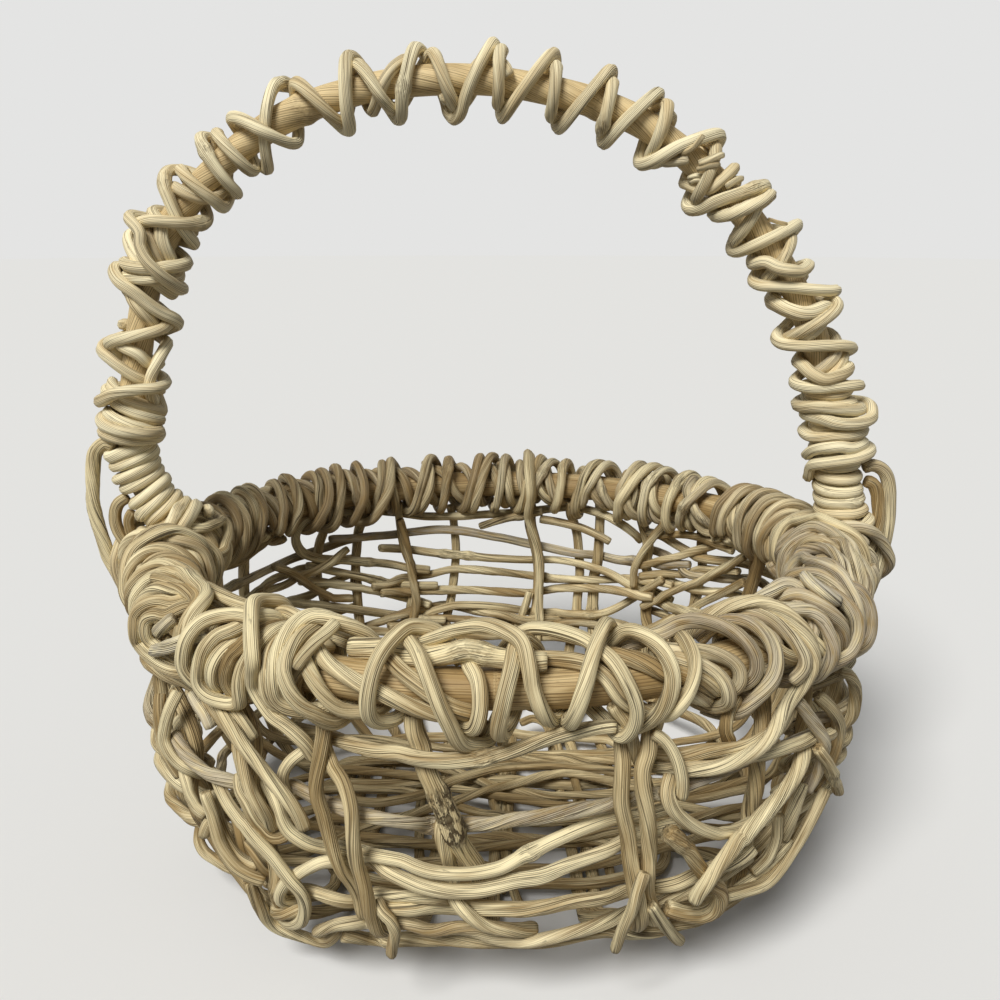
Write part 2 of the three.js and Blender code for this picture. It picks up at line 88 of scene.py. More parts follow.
def smoothLine(points, closed=False, fine=8):
    p = np.asarray(points, float)
    if closed:
        p = np.vstack([p[-1:], p, p[:2]])
    else:
        p = np.vstack([2 * p[0] - p[1], p, 2 * p[-1] - p[-2]])
    knots = np.maximum(np.linalg.norm(np.diff(p, axis=0), axis=1), 1e-5) ** 0.5
    t = np.linspace(0, 1, fine, endpoint=False)[:, None]
    parts = []
    for i in range(1, len(p) - 2):
        a, b, c, d = p[i - 1:i + 3]
        d0, d1, d2 = knots[i - 1:i + 2]
        leave = ((b - a) / d0 - (c - a) / (d0 + d1) + (c - b) / d1) * d1
        arrive = ((c - b) / d1 - (d - b) / (d1 + d2) + (d - c) / d2) * d1
        bend = 3 * (c - b) - 2 * leave - arrive
        parts.append(b + leave * t + bend * t ** 2 + (2 * (b - c) + leave + arrive) * t ** 3)
    if not closed:
        parts.append(p[-2:-1])
    return np.vstack(parts)


def evenLine(points, spacing, closed=False):
    p = np.asarray(points, float)
    if closed:
        p = np.vstack([p, p[:1]])
    along = lengthsAlong(p)
    count = max(int(round(along[-1] / spacing)), 3)
    at = np.linspace(0, along[-1], count + 1)
    return pointsAlong(p, along, at[:-1] if closed else at)


def smoothPlaces(places, weights):
    w = np.asarray(weights, float)
    return smoothLine(np.asarray(places, float) * w) / w


def smoothStep(x, low, high):
    t = np.clip((np.asarray(x, float) - low) / (high - low), 0, 1)
    return t * t * (3 - 2 * t)


# Places on the wall: azimuth, height above the ground, layer (0 is where the ribs run, 1 outside)

def ovalXY(halfWidth, halfDepth, squareness, azimuth):
    s, c = np.sin(np.radians(azimuth)), np.cos(np.radians(azimuth))
    power = 2 / squareness
    return halfWidth * np.sign(s) * np.abs(s) ** power, -halfDepth * np.sign(c) * np.abs(c) ** power


def wallInset(level):
    corner, depth = basket["cornerHeight"], basket["cornerDepth"]
    drop = np.clip((corner - level) / corner, 0, 1)
    share = np.clip((level - corner) / (wallHeight - corner), 0, 1)
    return depth * (1 - np.sqrt(1 - drop ** 2)) - basket["belly"] * np.sin(np.pi * share)


def wallSurface(azimuth, height):
    azimuth, height = np.asarray(azimuth, float), np.asarray(height, float)
    level = np.clip(height - baseHeight, 0, None)
    inset = wallInset(level)
    blend = smoothStep(level, basket["cornerHeight"], wallHeight)
    square = basket["wallSquareness"] * (1 - blend) + 2 * blend
    x, y = ovalXY(basket["rimHalfWidth"] - inset, basket["rimHalfDepth"] - inset, square, azimuth)
    return np.stack([x, y, level + baseHeight], axis=-1)


def onWall(places, smooth=True):
    p = smoothPlaces(places, (2.5, 1, 5)) if smooth else np.asarray(places, float)
    azimuth, height, layer = p[:, 0], np.maximum(p[:, 1], baseHeight + 0.1), p[:, 2]
    low = np.maximum(height - 0.1, baseHeight)
    across = wallSurface(azimuth + 0.1, height) - wallSurface(azimuth - 0.1, height)
    rise = wallSurface(azimuth, low + 0.2) - wallSurface(azimuth, low)
    out = unit(np.cross(across, rise))
    return wallSurface(azimuth, height) + out * (layer * basket["layer"])[:, None]


# Places round the rim rod: azimuth, turn (0 top, 90 outer face, 180 underside), distance from the
# middle of the rod

def onRim(places, smooth=True):
    p = smoothPlaces(places, (2.5, 0.18, 1)) if smooth else np.asarray(places, float)
    azimuth, turn, distance = p[:, 0], np.radians(p[:, 1]), p[:, 2]
    x, y = ovalXY(basket["rimHalfWidth"], basket["rimHalfDepth"], 2, azimuth)
    out = unit(np.stack([x / basket["rimHalfWidth"] ** 2, y / basket["rimHalfDepth"] ** 2, x * 0], axis=1))
    middle = np.stack([x, y, x * 0 + basket["rimHeight"]], axis=1)
    up = np.array([0, 0, 1.0])
    return middle + (out * np.sin(turn)[:, None] + up * np.cos(turn)[:, None]) * distance[:, None]


def layerDistance(rodRadius, vineRadius, layer):
    # From the middle of a rod to the middle of a vine; layer 1 touches the rod
    return rodRadius + vineRadius + (np.asarray(layer, float) - 1) * 2 * vineRadius


def onRimLayer(places, smooth=True):
    p = np.array(places, float)
    p[:, 2] = layerDistance(basket["rimRodRadius"], rimVines["radius"], p[:, 2])
    return onRim(p, smooth)


# Handle rod, foot to foot in the plane of X and Z, and places round it: distance along the rod,
# turn (0 outer side of the bow, 90 front), distance from the middle of the rod. The bends are shares
# of the half width of the rim and of the rise of the handle.

handleBends = [
    (-1.053, 0.13), (-1.107, 0.245), (-1.073, 0.418), (-0.987, 0.654), (-0.847, 0.793),
    (-0.62, 0.918), (-0.373, 0.981), (-0.087, 1), (0.193, 0.971), (0.413, 0.913),
    (0.66, 0.774), (0.853, 0.601), (0.967, 0.418), (1.027, 0.236), (1.047, 0.139),
]
footDistance = basket["rimRodRadius"] + basket["handleRodRadius"] + 0.6


def handleLine():
    half, rise, foot = basket["rimHalfWidth"], basket["handleRise"], footDistance
    bends = [(foot - half, -basket["handleFootDepth"]), (foot - half, 0)]
    for turn in (28, 52):
        reach = foot + 0.3
        bends.append((reach * math.cos(math.radians(turn)) - half, reach * math.sin(math.radians(turn))))
    bends += [(across * half, up * rise) for across, up in handleBends]
    bends += [(half + foot * 0.8, foot), (half + foot, 0), (half + foot, -basket["handleFootDepth"])]
    points = [(x, 0, basket["rimHeight"] + z) for x, z in bends]
    return evenLine(smoothLine(points, fine=16), 1.0)


handleMiddle = handleLine()
handleAlong = lengthsAlong(handleMiddle)
handleLength = handleAlong[-1]


def onHandle(places, smooth=True):
    p = smoothPlaces(places, (1, 0.14, 1)) if smooth else np.asarray(places, float)
    along = np.clip(p[:, 0], 2, handleLength - 2)
    before, middle, after = (pointsAlong(handleMiddle, handleAlong, along + step) for step in (-1.5, 0, 1.5))
    tangent = unit(after - before)
    bow = np.stack([-tangent[:, 2], tangent[:, 0] * 0, tangent[:, 0]], axis=1)
    turn = np.radians(p[:, 1])
    out = bow * np.cos(turn)[:, None] + np.array([0, -1.0, 0]) * np.sin(turn)[:, None]
    return middle + out * p[:, 2][:, None]


def onHandleLayer(places, smooth=True):
    p = np.array(places, float)
    p[:, 2] = layerDistance(basket["handleRodRadius"], handleWraps["radius"], p[:, 2])
    return onHandle(p, smooth)


# Places seen in the picture: x and y of a point of the photograph, and the layer that it lies in

camera = {
    "place": (0, -444, 289),
    "tilt": 74.5,
    "lens": 36,
    "sensor": 36,
    "shift": 0.002,
    "picture": 1000,       # points across the picture
}

finding = {
    "evenness": 0.3,       # how evenly a pictured vine bends, against how closely it keeps to its points
    "rounds": 14,
    "slopeStep": 0.05,
    "damping": 0.05,
    "longestMove": (4, 8),
    "margin": 4,           # how far a place may leave the range that was searched
}


def seenFrom(points):
    tilt = math.radians(camera["tilt"])
    p = np.asarray(points, float) - camera["place"]
    up = p[..., 1] * math.cos(tilt) + p[..., 2] * math.sin(tilt)
    away = p[..., 1] * math.sin(tilt) - p[..., 2] * math.cos(tilt)
    scale = camera["picture"] * camera["lens"] / camera["sensor"]
    x = camera["picture"] * (0.5 - camera["shift"]) + p[..., 0] / away * scale
    return np.stack([x, camera["picture"] * 0.5 - up / away * scale], axis=-1)


def firstPlaces(surface, spots, first, second, inside):
    # The places of a grid on the facing side of a surface that are seen nearest to the spots
    a, b = np.meshgrid(first, second, indexing="ij")
    tries = np.stack([a.ravel(), b.ravel(), np.full(a.size, np.median(spots[:, 2]))], axis=1)
    points = surface(tries, smooth=False)
    out = surface(tries + (0, 0, 0.2), smooth=False) - points
    facing = np.sum((camera["place"] - points) * out, axis=1) > 0
    tries = tries[facing != inside]
    seen = seenFrom(surface(tries, smooth=False))
    nearest = np.linalg.norm(seen[None] - spots[:, None, :2], axis=2).argmin(axis=1)
    return np.column_stack([tries[nearest, :2], spots[:, 2]])


def findPlaces(surface, spots, first, second, size, inside=False):
    # Finds the line on the side of a surface that faces the camera, seen at the spots of the picture
    # and bending evenly. The size is a step of each number in millimetres.
    spots = np.asarray(spots, float)
    n = len(spots)
    places = firstPlaces(surface, spots, first, second, inside)
    gaps = np.maximum(np.linalg.norm(np.diff(spots[:, :2], axis=0), axis=1), 4)
    bends = np.zeros((2 * max(n - 2, 0), 2 * n))
    for i in range(n - 2):
        mean = (gaps[i] + gaps[i + 1]) / 2
        for k in (0, 1):
            row = bends[2 * i + k]
            row[2 * i + k] = mean / gaps[i]
            row[2 * i + 2 + k] = -mean / gaps[i] - mean / gaps[i + 1]
            row[2 * i + 4 + k] = mean / gaps[i + 1]
            row *= size[k] * finding["evenness"]
    step, longest = finding["slopeStep"], np.array(finding["longestMove"])
    for _ in range(finding["rounds"]):
        at = seenFrom(surface(places, smooth=False))
        slopes = [(seenFrom(surface(places + np.eye(3)[k] * step, smooth=False)) - at) / step for k in (0, 1)]
        whole = np.zeros((2 * n, 2 * n))
        for i in range(n):
            whole[2 * i:2 * i + 2, 2 * i:2 * i + 2] = np.stack([slopes[0][i], slopes[1][i]], axis=1)
        miss = (spots[:, :2] - at).ravel()
        uneven = bends @ places[:, :2].ravel()
        damping = np.diag(np.tile(np.square(size), n) * finding["damping"])
        square = whole.T @ whole + bends.T @ bends + damping
        move = np.linalg.solve(square, whole.T @ miss - bends.T @ uneven).reshape(n, 2)
        places[:, :2] += np.clip(move, -longest, longest)
        places[:, 0] = np.clip(places[:, 0], first[0] - finding["margin"], first[-1] + finding["margin"])
        places[:, 1] = np.clip(places[:, 1], second[0], second[-1])
    return places


def wallSeen(spots, behind=False):
    azimuths = np.arange(112, 249, 2.0) if behind else np.arange(-88, 89, 2.0)
    return findPlaces(onWall, spots, azimuths, np.arange(3, 137, 2.0), (2.3, 1), inside=behind)


def rimSeen(spots):
    return findPlaces(onRimLayer, spots, np.arange(-98, 99, 2.0), np.arange(-110, 172, 4.0), (2.4, 0.22))


def handleSeen(spots):
    along = np.arange(20, handleLength - 20, 3.0)
    return findPlaces(onHandleLayer, spots, along, np.arange(0, 181, 6.0), (1, 0.16))


def planeSeen(spots, axis):
    # Points of the picture in a level or an upright plane: the third number is their height above
    # the ground with axis 2, and their depth from the middle of the basket with axis 1
    tilt = math.radians(camera["tilt"])
    place = np.array(camera["place"], float)
    scale = camera["sensor"] / camera["lens"]
    line = []
    for x, y, known in spots:
        across = (x / camera["picture"] - 0.5 + camera["shift"]) * scale
        up = (0.5 - y / camera["picture"]) * scale
        ray = np.array([across, math.sin(tilt) + up * math.cos(tilt), up * math.sin(tilt) - math.cos(tilt)])
        line.append(place + ray * (known - place[axis]) / ray[axis])
    return line


# Strands: every vine and rod is kept as a line with a thickness until all are laid

strands = []
pieces = {}

laying = {
    "spacing": 2.0,        # between the points of a line
    "waves": (95, 47, 29),     # lengths of the waves in which a vine strays from its line
    "rounds": 70,          # of pushing crossing vines apart
    "search": 10,          # rounds between searches for vines that are near each other
    "near": 2.5,           # gap up to which vines count as near
    "push": 1.5,           # share of an overlap that a round takes away
    "memory": 0.02,        # pull of each vine back to where it was laid
    "softening": 4,        # passes that spread each push along the vine, in a round
    "lastRounds": 5,       # rounds at the end with one such pass
    "reachOwn": 2.6,       # diameters along a vine within which it can't touch itself
    "press": 0.45,         # how far vines may press into each other
}


def strand(piece, line, radius, tone=0.5, grey=0.0, knots=(), closed=False, fixed=False,
           ridges=1.0, wave=0.0, oval=0.06, weight=1.0, scar=0.35):
    points = evenLine(line, laying["spacing"], closed)
    seed = len(strands)
    if wave:
        points = points + wander(points, wave, seed, closed)
    strands.append({
        "points": points, "radius": radius, "tone": tone, "grey": grey, "knots": knots, "closed": closed,
        "fixed": fixed, "ridges": ridges, "oval": oval, "weight": weight, "scar": scar, "seed": seed,
    })
    pieces.setdefault(piece, []).append(strands[-1])


def layVine(piece, line, vine, radius=None, **usual):
    own = {key: vine[key] for key in ("tone", "grey", "knots", "ridges") if key in vine}
    strand(piece, line, vine.get("radius", radius), **{**usual, **own})


def wander(points, amount, seed, closed):
    own = np.random.default_rng(1000 + seed)
    count = len(points)
    s = np.arange(count) * laying["spacing"]
    total = np.zeros((count, 3))
    for axis in range(3):
        for length in laying["waves"]:
            if closed:
                length = s[-1] / max(round(s[-1] / length), 1)
            phase = own.uniform(0, 2 * math.pi)
            total[:, axis] += own.uniform(0.4, 1) * np.sin(2 * math.pi * s / length + phase) / 3
    fade = np.ones(count) if closed else np.minimum(1, np.minimum(s, s[::-1]) / 15)
    return total * amount * fade[:, None]


def settle():
    # Pushes vines that lie in each other apart; a push spreads along a vine, so that it bends gently
    starts = np.cumsum([0] + [len(s["points"]) for s in strands])
    laid = np.vstack([s["points"] for s in strands])
    shift = np.zeros_like(laid)
    owner = np.concatenate([[k] * len(s["points"]) for k, s in enumerate(strands)])
    radius = np.array([s["radius"] for s in strands])[owner]
    free = np.array([0.0 if s["fixed"] else 1.0 / s["weight"] for s in strands])[owner]
    index = np.arange(len(laid))
    size = np.array([len(s["points"]) for s in strands])[owner]
    loops = np.array([s["closed"] for s in strands])[owner]
    before, after = index - 1, index + 1
    for k, s in enumerate(strands):
        lo, hi = starts[k], starts[k + 1]
        before[lo], after[hi - 1] = (hi - 1, lo) if s["closed"] else (lo, hi - 1)
    moving = (free > 0)[:, None]
    for step in range(laying["rounds"]):
        at = laid + shift
        if step % laying["search"] == 0:
            a, b = nearPairs(at, radius, owner, size, loops, free)
        apart = at[a] - at[b]
        gap = np.linalg.norm(apart, axis=1)
        deep = np.clip(radius[a] + radius[b] - laying["press"] - gap, 0, None)
        touching = deep > 0
        ta, tb = a[touching], b[touching]
        push = apart[touching] / np.maximum(gap[touching], 1e-6)[:, None] * deep[touching][:, None]
        shareA = free[ta] / (free[ta] + free[tb])
        move = np.zeros_like(at)
        hits = np.zeros(len(at))
        np.add.at(move, ta, push * shareA[:, None])
        np.add.at(move, tb, -push * (1 - shareA)[:, None])
        np.add.at(hits, ta, 1)
        np.add.at(hits, tb, 1)
        shift += move / np.maximum(hits, 1)[:, None] * laying["push"] * moving
        last = step >= laying["rounds"] - laying["lastRounds"]
        for _ in range(1 if last else laying["softening"]):
            shift = (shift[before] + 2 * shift + shift[after]) / 4
        shift *= 1 - laying["memory"]
        under = radius * 0.98 + basket["ground"] - laid[:, 2] - shift[:, 2]
        shift[:, 2] += np.clip(under, 0, None) * (free > 0)
    at = laid + shift
    over = radius[a] + radius[b] - np.linalg.norm(at[a] - at[b], axis=1)
    print(f"settled {len(at)} points, {int((over > 0.8).sum())} pairs over 0.8 mm deep, "
          f"deepest {over.max():.2f} mm")
    for k, s in enumerate(strands):
        s["points"] = at[starts[k]:starts[k + 1]]


def nearPairs(at, radius, owner, size, loops, free):
    tree = KDTree(len(at))
    for i, point in enumerate(at):
        tree.insert(point, i)
    tree.balance()
    found = []
    widest = radius.max()
    for i in range(len(at)):
        if free[i] == 0:
            continue
        away = laying["reachOwn"] * 2 * radius[i] / laying["spacing"]
        for _, j, distance in tree.find_range(at[i], radius[i] + widest + laying["near"]):
            if distance > radius[i] + radius[j] + laying["near"]:
                continue
            if owner[j] == owner[i]:
                between = j - i
                if between <= 0:
                    continue
                if loops[i]:
                    between = min(between, size[i] - between)
                if between < away:
                    continue
            elif free[j] > 0 and j < i:
                continue
            found.append((i, j))
    return np.array(found, int).T


# Rods

rods = {
    "rimKnots": (70, 214, 391, 560, 702, 838),
    "handleKnots": (131, 268, 392, 505),
}


def layRods():
    x, y = ovalXY(basket["rimHalfWidth"], basket["rimHalfDepth"], 2, np.arange(0, 360, 1.0))
    ring = np.stack([x, y, x * 0 + basket["rimHeight"]], axis=1)
    strand("rimRod", ring, basket["rimRodRadius"], tone=0.32, knots=rods["rimKnots"], closed=True,
           fixed=True, ridges=0.15, oval=0.03)
    strand("handleRod", handleMiddle, basket["handleRodRadius"], tone=1.0,
           knots=rods["handleKnots"], fixed=True, ridges=0.15, oval=0.03)
    print("laid the rods")


# Ribs. An end is its azimuth at the rim, half way up and at the base. Where the photograph shows a
# rib, "seen" has its points in the picture and its layer, at the front, and "behind" at the back.

ribVines = {
    "rib1": dict(
        tone=0.35, front=(-51, -49, -39), back=(224, 224, 221),
        seen=[(176, 690, 0), (184, 708, 0), (190, 723, 0), (195, 738, 0), (197, 752, -0.2),
                    (196, 768, -0.3), (193, 784, 0.3), (194, 799, 0.4), (199, 812, 0.3), (207, 824, 0),
                    (217, 842, -0.3), (230, 862, -0.3), (247, 884, -0.2), (262, 903, 0)],
        behind=[(322, 500, 0), (325, 527, -0.4), (320, 545, -0.2), (317, 565, 0), (322, 590, 0),
                    (330, 615, 0), (340, 640, 0)]),
    "rib2": dict(
        tone=0.3, front=(-37, -35, -30), back=(211, 211, 211),
        seen=[(240, 698, 0), (250, 717, 0), (257, 736, -0.1), (260, 755, -0.4), (263, 775, -0.6),
                    (265, 795, -0.7), (266, 815, -0.7), (266, 835, -0.6), (267, 852, -0.2),
                    (269, 870, 0.3), (270, 882, 0.5), (274, 896, 0.5), (282, 908, 0.5), (295, 922, 0.2)]),
    "rib3": dict(
        tone=0.58, front=(-26, -22.5, -18), back=(198, 200, 202), thick=0.9,
        seen=[(324, 704, 0.1), (325, 716, 0.3), (324, 732, 0.6), (320, 750, 0.8), (317.5, 767, 0.9),
                    (316, 786, 0.9), (320, 805, 0.9), (325, 824, 0.9), (329, 840, 0.9), (334, 850, 0.9),
                    (342, 866, 0.7), (350, 877, 0.4), (357, 888, 0.1), (364, 905, 0), (371, 925, 0)],
        behind=[(400, 500, 0), (400, 527, -0.3), (405, 552, -0.3), (411, 580, -0.3), (412, 610, 0),
                    (410, 630, 0), (410, 650, 0)]),
    "rib4": dict(
        tone=0.62, front=(-20.5, -17, -12), back=(188, 190, 193), thick=0.92,
        seen=[(330, 704, -0.4), (325, 722, -0.5), (322, 740, -0.3), (326, 756, 0), (334, 770, 0.6),
                    (342, 782, 1.2), (348, 800, 1.7), (350, 819, 1.9), (354, 835, 2), (356, 850, 2),
                    (359, 865, 2), (364, 881, 2), (369, 897, 1.9), (373, 912, 1.7), (377, 927, 1.3)],
        behind=[(452, 505, 0), (457, 545, 0), (455, 575, 0), (450, 600, 0), (445, 625, 0), (443, 648, 0)]),
    "rib5": dict(
        tone=0.62, front=(-9, -6, -2), back=(172, 174, 178), thick=1.2, knots=(31, 36, 40, 44, 47),
        seen=[(412, 700, 0), (413, 719, 0), (419, 737, -0.2), (423, 751, -0.3), (426, 766, 0.1),
                    (433, 781, 0.3), (440, 799, 0.3), (446, 814, 0.4), (450, 826, 0.4), (457, 840, 0.2),
                    (466, 853, -0.2), (474, 864, -0.5), (481, 880, -0.7), (486, 900, -0.8),
                    (489, 925, -0.6)],
        behind=[(528, 498, 0), (528, 520, 0), (538, 552, 0), (540, 568, 0), (538, 592, 0), (537, 626, 0),
                    (536, 648, 0)]),
    "rib6": dict(
        tone=0.65, front=(15, 16.5, 15), back=(163, 164, 166),
        seen=[(622, 704, 0), (626, 723, 0.2), (628, 745, 0.2), (625, 770, 0.5), (623, 790, 0.7),
                    (625, 815, 0.7), (630, 840, 0.7), (635, 865, 0.8), (640, 890, 1), (642, 912, 1.2),
                    (642, 927, 1)]),
    "rib7": dict(
        tone=0.68, front=(20.5, 21.5, 21), back=(157, 158, 159.5), thick=1.1,
        seen=[(653, 690, 0), (650, 710, 0.2), (645, 728, 0.3), (640, 745, 0.5), (638, 765, 0.7),
                    (640, 790, 0.9), (645, 810, 0.9), (648, 832, 0.9), (648, 857, 0.9), (646, 873, 0.9),
                    (645, 890, 0.7), (649, 908, 0.5), (656, 922, 0.3)],
        behind=[(598, 500, 0), (600, 530, 0), (598, 552, 0), (594, 580, 0), (592, 610, 0), (592, 642, 0)]),
    "rib8": dict(
        tone=0.45, front=(36, 35, 32), back=(146, 147, 149), thick=1.1,
        seen=[(762, 690, 0), (763, 707, 0.2), (763, 720, 0.4), (760, 735, 0.4), (758, 753, 0.3),
                    (758, 773, 0.3), (755, 793, 0.3), (751, 817, 0.1), (745, 843, -0.2), (735, 868, -0.4),
                    (722, 892, -0.4), (706, 914, -0.2)],
        behind=[(640, 500, 0), (646, 524, 0), (650, 544, 0), (648, 568, 0), (646, 592, 0), (644, 614, 0),
                    (650, 640, 0)]),
    "rib9": dict(tone=0.3, front=(50, 48, 39), back=(132, 134, 140)),
    "crossRib1": dict(tone=0.5, front=(-66, -66, -70), back=(66, 66, 70)),
    "crossRib2": dict(tone=0.35, front=(-82, -82, -82), back=(82, 82, 82)),
    "crossRib3": dict(tone=0.6, front=(-98, -98, -98), back=(98, 98, 98)),
    "crossRib4": dict(tone=0.4, front=(-117, -116, -112), back=(117, 116, 112)),
}

ribs = {
    "lashed": ("crossRib2", "crossRib3"),      # end lower, under the lashings
    "topBelowRim": 7.8,
    "lashedTopBelowRim": 14,
    "crossHeight": 9,
    "crossClimb": 14,
}


def ribAzimuth(end, height):
    top, middle, low = end
    h = (np.asarray(height, float) - baseHeight) / wallHeight
    return low * (1 - h) * (1 - 2 * h) + middle * 4 * h * (1 - h) + top * h * (2 * h - 1)


def ribSide(rib, side, top):
    # One upright side of a rib, and its azimuth where it turns under
    end = rib[side]
    seen = rib.get("seen" if side == "front" else "behind")
    if seen:
        places = wallSeen(seen, side == "back")
        if side == "front":
            return onWall(places)[::3], places[-1, 0]
        low = places[-1, 1]
        heights = np.linspace(low - 12, baseHeight + 3, 5)
        share = (low - heights) / (low - baseHeight)
        azimuths = places[-1, 0] + (end[2] - places[-1, 0]) * share
        places = np.vstack([places, np.stack([azimuths, heights, heights * 0], axis=1)])
        return onWall(places)[::3], end[2]
    levels = list(np.linspace(top - baseHeight, basket["cornerHeight"], 14))
    for turn in np.linspace(0, 82, 16)[1:]:
        levels.append(basket["cornerHeight"] * (1 - math.sin(math.radians(turn))))
    heights = np.array(levels) + baseHeight
    places = np.stack([ribAzimuth(end, heights), heights, heights * 0], axis=1)
    return onWall(places, smooth=False), end[2]


def ribLine(rib, top, lift):
    front, lowFront = ribSide(rib, "front", top)
    back, lowBack = ribSide(rib, "back", top)
    a, b = wallSurface([lowFront, lowBack], [baseHeight, baseHeight])
    across = []
    for share in np.linspace(0.03, 0.97, 25):
        point = a + (b - a) * share
        edge = min(share, 1 - share) * np.linalg.norm(b - a)
        climb = smoothStep(edge, 4, 4 + ribs["crossClimb"])
        point[2] = basket["ribRadius"] + (lift - basket["ribRadius"]) * climb
        across.append(point)
    whole = np.vstack([front, across, back[::-1]])
    return smoothLine(evenLine(whole, 8), fine=4)


def layRibs():
    counts = {False: 0, True: 0}
    for name, rib in ribVines.items():
        crossing = name.startswith("cross")
        i = counts[crossing]
        counts[crossing] += 1
        top = basket["rimHeight"] - ribs["lashedTopBelowRim" if name in ribs["lashed"] else "topBelowRim"]
        line = ribLine(rib, top, ribs["crossHeight"] if crossing else basket["ribRadius"])
        if crossing:
            strand(name, line, basket["ribRadius"], tone=rib["tone"], knots=(90 + 31 * i, 330), wave=1.2,
                   weight=1.4)
            continue
        strand(name, line, basket["ribRadius"] * rib.get("thick", 1), tone=rib["tone"],
               knots=rib.get("knots", (60 + 23 * i,)) + (240 + 17 * i, 400), wave=0.8, weight=1.4,
               scar=1.0 if "knots" in rib else 0.5)
    print("laid the ribs")


# Weavers: one vine round the basket in each row. "Places" gives the azimuth and the height of the row,
# as a share of the height of the wall. Vines that the photograph shows have points of the picture with
# their layers. The letters say on which side a row passes each post, in or out; a swapped row passes
# them on the other side.

posts = [[ribVines[name][end] for name in names.split()] for end, group in (
    ("front", ("crossRib2", "crossRib1", "rib1", "rib2", "rib3 rib4", "rib5", "rib6 rib7", "rib8", "rib9")),
    ("back", ("crossRib1", "crossRib2", "crossRib3", "crossRib4", "rib9", "rib8", "rib7 rib6", "rib5", "rib4",
              "rib3", "rib2", "rib1"))) for names in group]
posts += [[tuple(a + 360 for a in ribVines[name]["front"])] for name in ("crossRib4", "crossRib3")]

weaverRows = {
    "weaver1": dict(tone=0.75, grey=0.05, places=[(-90, 0.785), (-38, 0.74), (47, 0.8), (64, 0.815),
                (146, 0.79), (172, 0.88), (200, 0.86), (225, 0.92), (262, 0.815), (285, 0.84),
                (309, 0.8)]),
    "weaver2": dict(tone=0.65, grey=0.75, places=[(-90, 0.665), (47, 0.7), (62, 0.71), (90, 0.73),
                (146, 0.7), (190, 0.76), (235, 0.75), (262, 0.7), (285, 0.72), (309, 0.6)]),
    "weaver3": dict(tone=0.95, grey=0, knots=(44, 50, 58), places=[(-90, 0.555), (47, 0.61), (90, 0.62),
                (146, 0.61), (175, 0.69), (200, 0.66), (235, 0.69), (262, 0.59), (285, 0.61),
                (309, 0.55)]),
    "weaver4": dict(tone=1, grey=0.1, places=[(-90, 0.445), (47, 0.5), (90, 0.53), (150, 0.5), (180, 0.6),
                (200, 0.6), (235, 0.56), (262, 0.48), (285, 0.5), (309, 0.44)]),
    "weaver5": dict(tone=0.75, grey=0, places=[(-90, 0.345), (47, 0.38), (60, 0.42), (90, 0.435),
                (150, 0.44), (175, 0.52), (200, 0.5), (235, 0.43), (262, 0.38), (285, 0.395),
                (309, 0.36)]),
    "weaver6": dict(tone=0.55, grey=0.1, places=[(-90, 0.245), (47, 0.29), (90, 0.32), (146, 0.36),
                (190, 0.41), (235, 0.33), (262, 0.28), (285, 0.295), (309, 0.25)]),
    "weaver7": dict(tone=0.6, grey=0, places=[(-90, 0.15), (47, 0.17), (90, 0.205), (146, 0.27),
                (190, 0.31), (235, 0.22), (262, 0.18), (285, 0.2), (309, 0.16)]),
    "weaver8": dict(tone=0.4, grey=0, places=[(-90, 0.065), (-22, 0.075), (17, 0.07), (90, 0.085),
                (146, 0.13), (190, 0.14), (262, 0.09), (285, 0.105), (309, 0.08)]),
}
